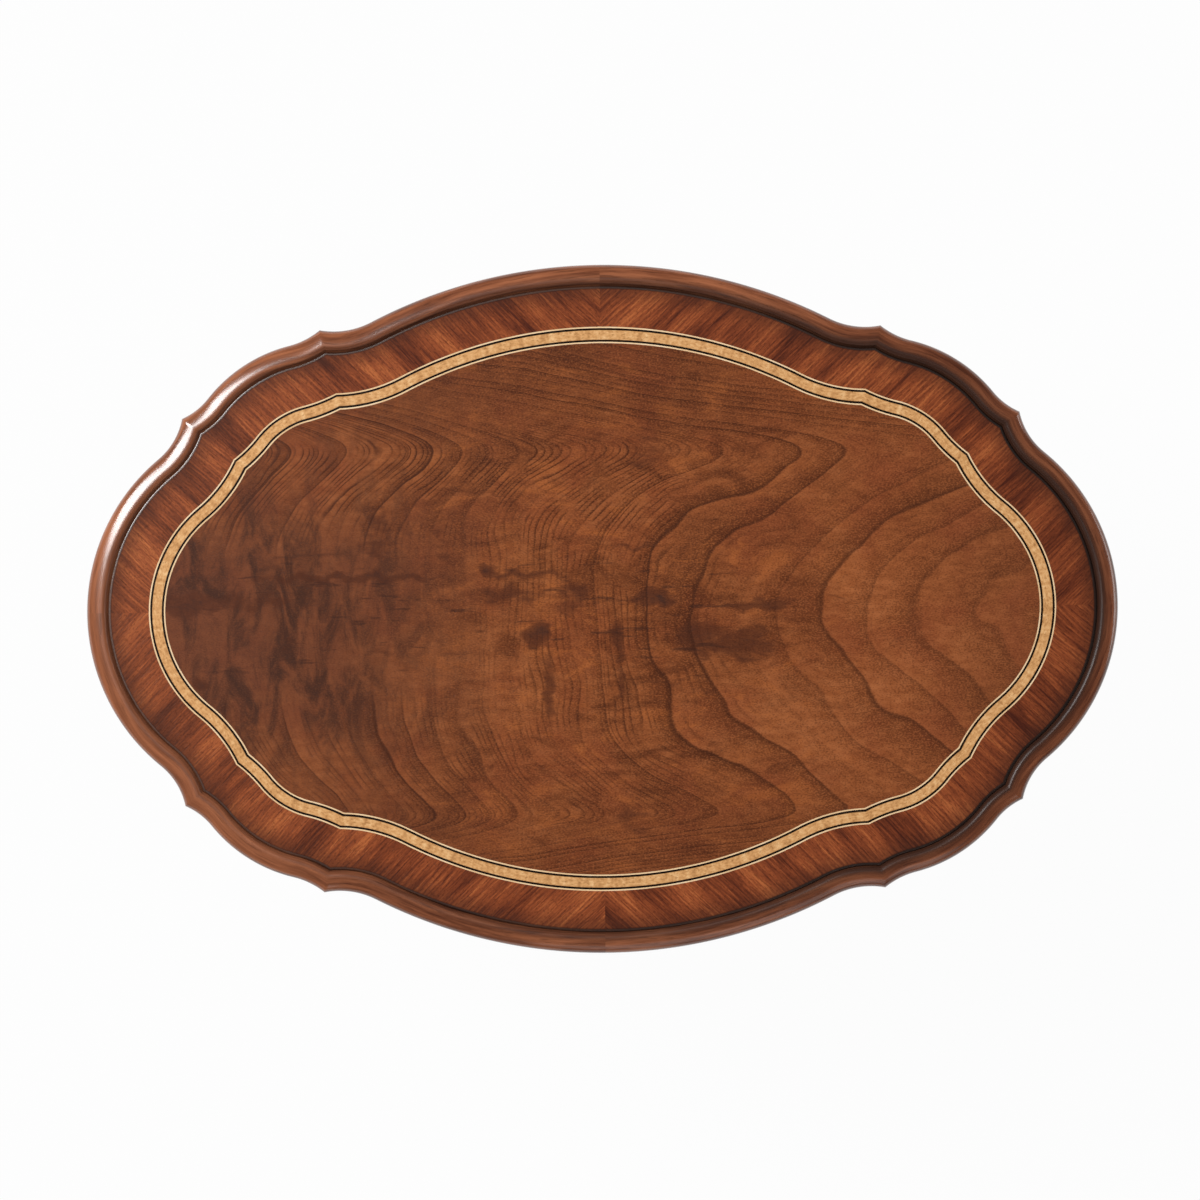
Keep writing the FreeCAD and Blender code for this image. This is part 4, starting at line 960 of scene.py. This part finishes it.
def figured_walnut(name):
    """Walnut veneer from the growth and mark attributes, on Object coordinates.

    Each ring starts clean and light, fills with dark pores and ends in a soft line; upright mottle
    darkens the left end, short cracks lie along the middle, and clouds shift brown to red-brown.
    """
    material, tree = new_material(name)
    place = object_place(tree)
    along, off = axes(tree, place)[:2]
    aside = maths(tree, "ABSOLUTE", maths(tree, "SUBTRACT", off, FIGURE_AXIS))
    left = span(tree, along, -0.20, -0.03, 1.0, 0.0)
    inner = between(tree, along, -0.20, -0.08, 0.10, 0.20)
    calm = product(tree, span(tree, along, -0.12, -0.03, 0.85, 0.0),
                   span(tree, aside, 0.035, 0.075, 1.0, 0.0))
    formed = maths(tree, "SUBTRACT", 1.0, calm)

    count = ring_count(tree, place)
    phase = maths(tree, "FRACT", count)
    number = maths(tree, "FLOOR", count)
    ring = add_node(tree, "ShaderNodeTexWhiteNoise", {"W": number}, noise_dimensions="1D").outputs[0]
    clear = product(tree, formed, span(tree, ring, 0.1, 0.9, 0.3, 1.0))
    late = product(tree, maths(tree, "POWER", phase, 1.5), span(tree, phase, 0.93, 1.0, 1.0, 0.3), clear)
    late_shade = product(tree, late, span(tree, along, 0.06, 0.18, 0.52, 0.30),
                         span(tree, aside, 0.03, 0.08, 1.0, 1.45))
    line = product(tree, between(tree, phase, 0.86, 0.96, 0.965, 1.0), clear,
                   span(tree, ring, 0.3, 1.0, 0.15, 0.65), span(tree, along, 0.02, 0.16, 1.0, 0.75))
    fine = maths(tree, "FRACT", product(tree, count, 4.3))
    patchy = span(tree, noise(tree, place, 38.0, 2.0), 0.38, 0.62, 0.06, 0.62)
    patchy = product(tree, patchy, span(tree, off, 0.02, 0.09, 1.0, 1.5))
    fine_line = product(tree, between(tree, fine, 0.50, 0.88, 0.90, 1.0), patchy,
                        span(tree, along, 0.02, 0.12, 1.0, 0.24), formed)

    streak, _, cloud = grain(tree, place, 190.0, 820.0, 9.0, 0.45)
    stipple = noise(tree, scaled(tree, place, (0.6, 1.0, 1.0)), 1200.0, 2.0, 0.6)
    speck = span(tree, maths(tree, "MULTIPLY_ADD", late, 0.16, stipple), 0.54, 0.68)
    bright = product(tree, span(tree, stipple, 0.48, 0.34), span(tree, left, 0.0, 1.0, 0.30, 0.08))
    red = noise(tree, place, 24.0, 3.0, 0.55)
    curl = noise(tree, scaled(tree, place, (26.0, 58.0, 1.0)), 1.0, 4.0, 0.6, 1.0)
    mottle = noise(tree, scaled(tree, place, (54.0, 22.0, 1.0)), 1.0, 6.0, 0.64, 0.8)
    mottle = product(tree, span(tree, mottle, 0.40, 0.66), left, span(tree, aside, 0.05, 0.11, 0.95, 0.35))
    shadowed = product(tree, left, span(tree, aside, 0.03, 0.11, 0.72, 0.30),
                       span(tree, off, 0.03, 0.10, 1.0, 0.3))
    flame = noise(tree, scaled(tree, place, (42.0, 110.0, 1.0)), 1.0, 5.0, 0.66, 1.2)
    ragged = maths(tree, "MULTIPLY_ADD", attribute(tree, "marks"), 0.72, product(tree, flame, 0.92))
    crack = noise(tree, scaled(tree, place, (28.0, 210.0, 1.0)), 1.0, 3.0, 0.6)
    middle = product(tree, between(tree, off, -0.075, -0.02, 0.02, 0.055),
                     between(tree, along, -0.30, -0.22, 0.07, 0.15))

    tone = maths(tree, "MULTIPLY_ADD", streak, 0.62, product(tree, cloud, 0.55))
    base = ramp(tree, tone, [
        (0.41, colour(118, 63, 34)),
        (0.585, colour(146, 82, 46)),
        (0.76, colour(170, 101, 60)),
    ])
    base = layered(tree, base, [
        (span(tree, red, 0.42, 0.68, 0.0, 0.45), (128, 62, 38)),
        (late_shade, (84, 42, 23)),
        (product(tree, inner, span(tree, aside, 0.0, 0.10, 0.26, 0.12)), (84, 42, 22)),
        (product(tree, inner, span(tree, curl, 0.50, 0.70, 0.0, 0.58)), (74, 36, 21)),
        (product(tree, inner, span(tree, curl, 0.48, 0.30, 0.0, 0.40)), (184, 105, 54)),
        (fine_line, (66, 33, 20)),
        (span(tree, aside, 0.09, 0.14, 0.0, 0.28), (92, 47, 28)),
        (shadowed, (98, 56, 40)),
        (mottle, (66, 40, 31)),
        (bright, (176, 106, 62)),
        (span(tree, ragged, 0.60, 0.94, 0.0, 0.72), (80, 43, 29)),
        (span(tree, ragged, 0.92, 1.26, 0.0, 0.72), (50, 36, 34)),
        (product(tree, span(tree, crack, 0.60, 0.70), middle, 0.6), (52, 32, 27)),
        (span(tree, along, 0.19, 0.29, 0.0, 0.16), (84, 52, 38)),
        (line, (62, 33, 22)),
        (product(tree, speck, span(tree, left, 0.0, 1.0, 0.44, 0.24)), (62, 32, 19)),
    ])
    height = maths(tree, "MULTIPLY_ADD", speck, -0.6, product(tree, streak, 0.5))
    finish_wood(tree, base, span(tree, cloud, 0.3, 0.7, 0.32, 0.22), height, 0.0001, 0.25, 0.06, 0.05)
    return material


panel = panel_skin(round_path(np.array([depth]))[:, 0])
panel_values = {
    "growth": growth_count(panel[..., 0], panel[..., 1]),
    "marks": mark_shade(panel[..., 0], panel[..., 1]),
}
add_piece("figured_centre_panel", [panel], figured_walnut("figured_walnut"),
          ["centre_veneer"], loop=True, poles=True, values=panel_values)

# Edge moulding: mahogany run to a section with a quirk, a raised lip, a long crown, a rounded nose and
# a cove below. It is mitred at the cusps, jointed at the middle of each side and glued to the core.
# Sizes of its section are in millimetres, from its outer face inward and from the veneers upward.
SECTION_WIDTH = MOULDING_WIDTH * 1000
SECTION_DEPTH = 20.0
QUIRK_EDGE = 14.8
QUIRK_FACE = np.array([0.8, 0.9])
RIM_EASE = 0.4
LIP_SLOPE = 2.8
LIP_RISE = 2.4
CROWN_WIDTH = 7.8
CROWN_FALL = 2.0
EDGE_BAND = 1.4
UNDER_ROUND = 2.8
UNDER_FILLET = 0.8
COVE_WIDTH = 6.0
COVE_DROP = 8.0
COVE_RADIUS = 9.0
SECTION_STEPS = 8
MOULDING_CUT_START = 20.0
MOULDING_CUT_STEP = 1.9


def level_radius(width, height):
    """Radius of an arc that is level at one end and lies a width along and a height away at the other."""
    return (width ** 2 + height ** 2) / (2 * height)


def turn_points(first, last, radius):
    """Points on the arc between two points; a minus radius bulges to the left of the travel."""
    first, last = np.array(first), np.array(last)
    line = last - first
    half = np.hypot(*line) / 2
    left = np.array([-line[1], line[0]]) / (2 * half)
    centre = (first + last) / 2 + left * math.copysign(math.sqrt(radius ** 2 - half ** 2), radius)
    return arc(centre, np.array([abs(radius)]), first[None], last[None], SECTION_STEPS)[:, 0]


def section_points():
    """The section as (depth, height) in metres: corners, with an arc after each that has a radius.

    The rim, the lip and the crown are arcs that start or end level, and the nose is the circle that
    carries the crown on, without a corner, to the upright face.
    """
    rim_in, rim_down = RIM_EASE * QUIRK_FACE / np.hypot(*QUIRK_FACE)
    quirk_floor = QUIRK_EDGE - QUIRK_FACE[0]
    quirk_end = quirk_floor - QUIRK_FACE[0]
    lip = quirk_end - LIP_SLOPE
    crown_foot = lip - CROWN_WIDTH
    crown_radius = level_radius(CROWN_WIDTH, CROWN_FALL)
    nose_radius = crown_foot * crown_radius / (crown_radius - CROWN_WIDTH)
    nose_drop = nose_radius * (crown_radius - CROWN_FALL) / crown_radius
    nose_low = LIP_RISE - CROWN_FALL - nose_drop
    under = nose_low - EDGE_BAND - UNDER_ROUND
    cove = UNDER_ROUND + UNDER_FILLET
    corners = [
        (SECTION_WIDTH, 0.0, None),
        (QUIRK_EDGE + RIM_EASE, 0.0, level_radius(RIM_EASE + rim_in, rim_down)),
        (QUIRK_EDGE - rim_in, -rim_down, None),
        (quirk_floor, -QUIRK_FACE[1], None),
        (quirk_end, 0.0, level_radius(LIP_SLOPE, LIP_RISE)),
        (lip, LIP_RISE, crown_radius),
        (crown_foot, LIP_RISE - CROWN_FALL, nose_radius),
        (0.0, nose_low, None),
        (0.0, nose_low - EDGE_BAND, UNDER_ROUND),
        (UNDER_ROUND, under, None),
        (cove, under, -COVE_RADIUS),
        (cove + COVE_WIDTH, under - COVE_DROP, None),
        (cove + COVE_WIDTH, -SECTION_DEPTH, None),
        (SECTION_WIDTH, -SECTION_DEPTH, None),
    ]
    points = []
    for (depth, height, radius), after in zip(corners, corners[1:] + corners[:1]):
        corner = np.array([[depth, height]])
        points.append(corner if radius is None else turn_points((depth, height), after[:2], radius)[:-1])
    return np.concatenate(points) / 1000


def moulding_skin():
    """Skin of the back right moulding: every point of the section follows the outline at its own depth."""
    section = section_points()
    path = quarter_path(section[:, 0])
    heights = np.broadcast_to(section[:, 1] + SURFACE, path.shape[:2])
    return np.dstack([path, heights])


def moulding_mahogany(name):
    """Brown mahogany along UV under gloss lacquer; painted shade in the quirk, dark glaze and painted shade
    on the inner slope.
    """
    material, tree = new_material(name)
    sizes = (260.0, 800.0, 7.0, 0.07)
    stops = [(0.40, colour(84, 43, 27)), (0.57, colour(130, 75, 49)), (0.74, colour(166, 101, 68))]
    base, streak, pore = timber_base(
        tree, grain_uv(tree), sizes, (0.26, 0.9), stops, 0.45, colour(50, 26, 17))
    # Painted light: paler towards the left end, deeper towards the right.
    base = painted_side_light(tree, base, 0.24, 0.34)
    depth = attribute(tree, "depth")
    # Painted shade over dark glaze on the inner slope: full at the right end, weak at the left.
    painted_side_shade = span(tree, axes(tree, object_place(tree))[0], -0.33, 0.30, 0.22, 1.0)
    base = layered(tree, base, [
        (product(tree, painted_side_shade, span(tree, depth, 0.0050, 0.0116, 0.0, 0.88)), (42, 27, 21)),
        # Painted shade: a black line along the quirk.
        (span(tree, depth, 0.0136, 0.0143, 0.0, 0.72), (14, 9, 7)),
    ])
    dulled = span(tree, depth, 0.0080, 0.0100, 0.0, 0.20)
    roughness = maths(tree, "ADD", dulled, span(tree, streak, 0.2, 0.8, 0.22, 0.14))
    height = maths(tree, "MULTIPLY_ADD", pore, -0.5, streak)
    lacquer = span(tree, depth, 0.0080, 0.0098, 1.0, 0.06)
    lacquer = maths(tree, "ADD", lacquer, span(tree, depth, 0.0142, 0.0146, 0.0, 0.90))
    finish_wood(tree, base, roughness, height, 0.0002, lacquer, 0.17, 0.2)
    return material


edge_mahogany = moulding_mahogany("edge_mahogany")
moulding = moulding_skin()
moulding_depth = np.broadcast_to(section_points()[:, 0], moulding.shape[:2])
for number, (corner, (flip_x, flip_y)) in enumerate(CORNERS.items()):
    cut = MOULDING_CUT_START + number * MOULDING_CUT_STEP
    add_piece(f"run_moulding_{corner}", [moulding * (flip_x, flip_y, 1)], edge_mahogany,
              [f"edge_moulding_{corner}"], uv=[grain_map(moulding, cut)], values={"depth": moulding_depth})

# Glides: a disc moulded in brown nylon under each pad foot, so that the table slides without marking
# a floor. A nail stands up from it, and is driven into the end grain of the leg.
GLIDE_RADIUS = 0.011
GLIDE_EDGE = 0.001
GLIDE_EDGE_POINTS = 7
NAIL_RADIUS = 0.0012
NAIL_LENGTH = 0.0139
DISH_RADIUS = 0.004
DISH_DEPTH = 0.0006
FOOT_REACH = FOOT_PROUD - FOOT_DEPTH / 2


def glide_skin():
    """Skin of a glide turned about Z: a dished disc with a rounded edge, and its nail above."""
    bend = np.linspace(0, np.pi / 2, GLIDE_EDGE_POINTS)
    radius = np.concatenate([
        [AXIS_RADIUS, DISH_RADIUS], GLIDE_RADIUS - GLIDE_EDGE + GLIDE_EDGE * np.sin(bend),
        [GLIDE_RADIUS, NAIL_RADIUS, NAIL_RADIUS, AXIS_RADIUS],
    ])
    height = np.concatenate([
        [DISH_DEPTH, DISH_DEPTH], GLIDE_EDGE - GLIDE_EDGE * np.cos(bend),
        [SOLE_HEIGHT, SOLE_HEIGHT, SOLE_HEIGHT + NAIL_LENGTH - NAIL_RADIUS, SOLE_HEIGHT + NAIL_LENGTH],
    ])
    return turned(radius, height)[..., [1, 2, 0]]


def worn_nylon(name):
    """Brown nylon on Object coordinates: fine mould texture, and scuffs that catch the light."""
    material, tree = new_material(name)
    place = object_place(tree)
    cloud = noise(tree, place, 300.0)
    scuff = span(tree, noise(tree, scaled(tree, place, (1400.0, 120.0, 1400.0)), 1.0, 2.0), 0.58, 0.7)
    base = mixed(tree, cloud, colour(58, 42, 34), colour(78, 58, 46))
    base = mixed(tree, product(tree, scuff, 0.4), base, colour(112, 92, 76))
    roughness = span(tree, cloud, 0.3, 0.7, 0.5, 0.65)
    finish(tree, scuff, 0.3, 0.0001, {"Base Color": base, "Roughness": roughness})
    return material


glides = [in_leg_frame(glide_skin(), FOOT_REACH, 0, 0, flips) for flips in CORNERS.values()]
add_piece("nailed_glides", glides, worn_nylon("worn_nylon"), ["foot_glides"])

# Floor: a plain pale studio floor. It looks white to the camera and in reflections, and keeps the soft
# shadow of the table.
FLOOR_HALF = 6.0
WHITE = (1.0, 1.0, 1.0, 1.0)


def background_rays(tree):
    """One for the rays that show the background: seen straight, in a gloss or through a clear piece."""
    path = add_node(tree, "ShaderNodeLightPath").outputs
    seen = maths(tree, "ADD", path["Is Camera Ray"], path["Is Glossy Ray"])
    return maths(tree, "MINIMUM", 1.0, maths(tree, "ADD", seen, path["Is Transmission Ray"]))


def studio_floor(name):
    """White to the camera, with a share of plain grey diffuse that carries the shadow."""
    material, tree = new_material(name)
    tint = mixed(tree, noise(tree, object_place(tree), 3.0), colour(190, 190, 190), colour(198, 198, 198))
    diffuse = add_node(tree, "ShaderNodeBsdfDiffuse", {"Color": tint})
    white = add_node(tree, "ShaderNodeEmission", {"Color": WHITE, "Strength": 1.0})
    share = product(tree, background_rays(tree), 0.97)
    shown = add_node(tree, "ShaderNodeMixShader", {0: share, 1: diffuse.outputs[0], 2: white.outputs[0]})
    tree.links.new(shown.outputs[0], add_node(tree, "ShaderNodeOutputMaterial").inputs[0])
    return material


floor_mesh = bpy.data.meshes.new("studio_floor")
floor_corners = np.array([(-1, -1, 0), (1, -1, 0), (1, 1, 0), (-1, 1, 0)]) * FLOOR_HALF
floor_mesh.from_pydata(floor_corners, [], [(0, 1, 2, 3)])
floor_mesh.materials.append(studio_floor("studio_floor"))
floor = placed("studio_floor", floor_mesh)

# Light: a large softbox high at the back left, a low pale wall at the right, a weak fill from the front,
# and a dim room that is dark overhead, so that the flat top shows its colour without glare. Low down,
# behind the table, the room looks as white as the floor.
AIM = np.array([0.0, 0.0, SURFACE])


def softbox(name, bearing, tilt, distance, size, power):
    """An area lamp aimed at the top, placed by its bearing from X and its tilt from straight up."""
    lamp = bpy.data.lights.new(name, "AREA")
    lamp.shape = "ELLIPSE"
    lamp.size, lamp.size_y = size
    lamp.energy = power
    box = placed(name, lamp)
    bearing, tilt = math.radians(bearing), math.radians(tilt)
    way = np.array([math.sin(tilt) * math.cos(bearing), math.sin(tilt) * math.sin(bearing), math.cos(tilt)])
    box.location = AIM + way * distance
    box.rotation_euler = (tilt, 0, bearing + math.pi / 2)


softbox("back_left_softbox", bearing=149, tilt=34, distance=3.6, size=(1.05, 2.75), power=141)
softbox("right_wall", bearing=5, tilt=74, distance=2.6, size=(1.8, 0.8), power=13)
softbox("front_fill", bearing=285, tilt=55, distance=2.2, size=(1.6, 0.9), power=3)

world = bpy.data.worlds.new("studio_room")
bpy.context.scene.world = world
world.use_nodes = True
room = world.node_tree
room.nodes.clear()
upward = axes(room, add_node(room, "ShaderNodeTexCoord").outputs["Generated"])[2]
wall = ramp(room, upward, [
    (0.0, (0.32, 0.32, 0.32, 1.0)),
    (0.22, (0.22, 0.22, 0.22, 1.0)),
    (0.50, (0.06, 0.06, 0.06, 1.0)),
])
low_wall = product(room, span(room, upward, 0.10, 0.22, 1.0, 0.0), background_rays(room))
wall = mixed(room, low_wall, wall, WHITE)
sky = add_node(room, "ShaderNodeBackground", {"Color": wall, "Strength": 1.0})
room.links.new(sky.outputs[0], add_node(room, "ShaderNodeOutputWorld").inputs[0])

# Camera: straight above the table and far enough to see no side of it, turned a little so that the
# right end sits higher in the frame.
FRAME_WIDTH = 0.7976
CAMERA_RISE = 3.2
CAMERA_PLACE = (-0.0016, 0.0059)
CAMERA_TURN = math.radians(-0.506)
SENSOR = 36.0
camera_data = bpy.data.cameras.new("overhead_camera")
camera_data.sensor_width = SENSOR
camera_data.lens = SENSOR * CAMERA_RISE / FRAME_WIDTH
camera = placed("overhead_camera", camera_data)
camera.location = (*CAMERA_PLACE, SURFACE + CAMERA_RISE)
camera.rotation_euler = (0, 0, CAMERA_TURN)
bpy.context.scene.camera = camera
bpy.context.scene.view_settings.view_transform = "Standard"

bpy.context.view_layer.update()
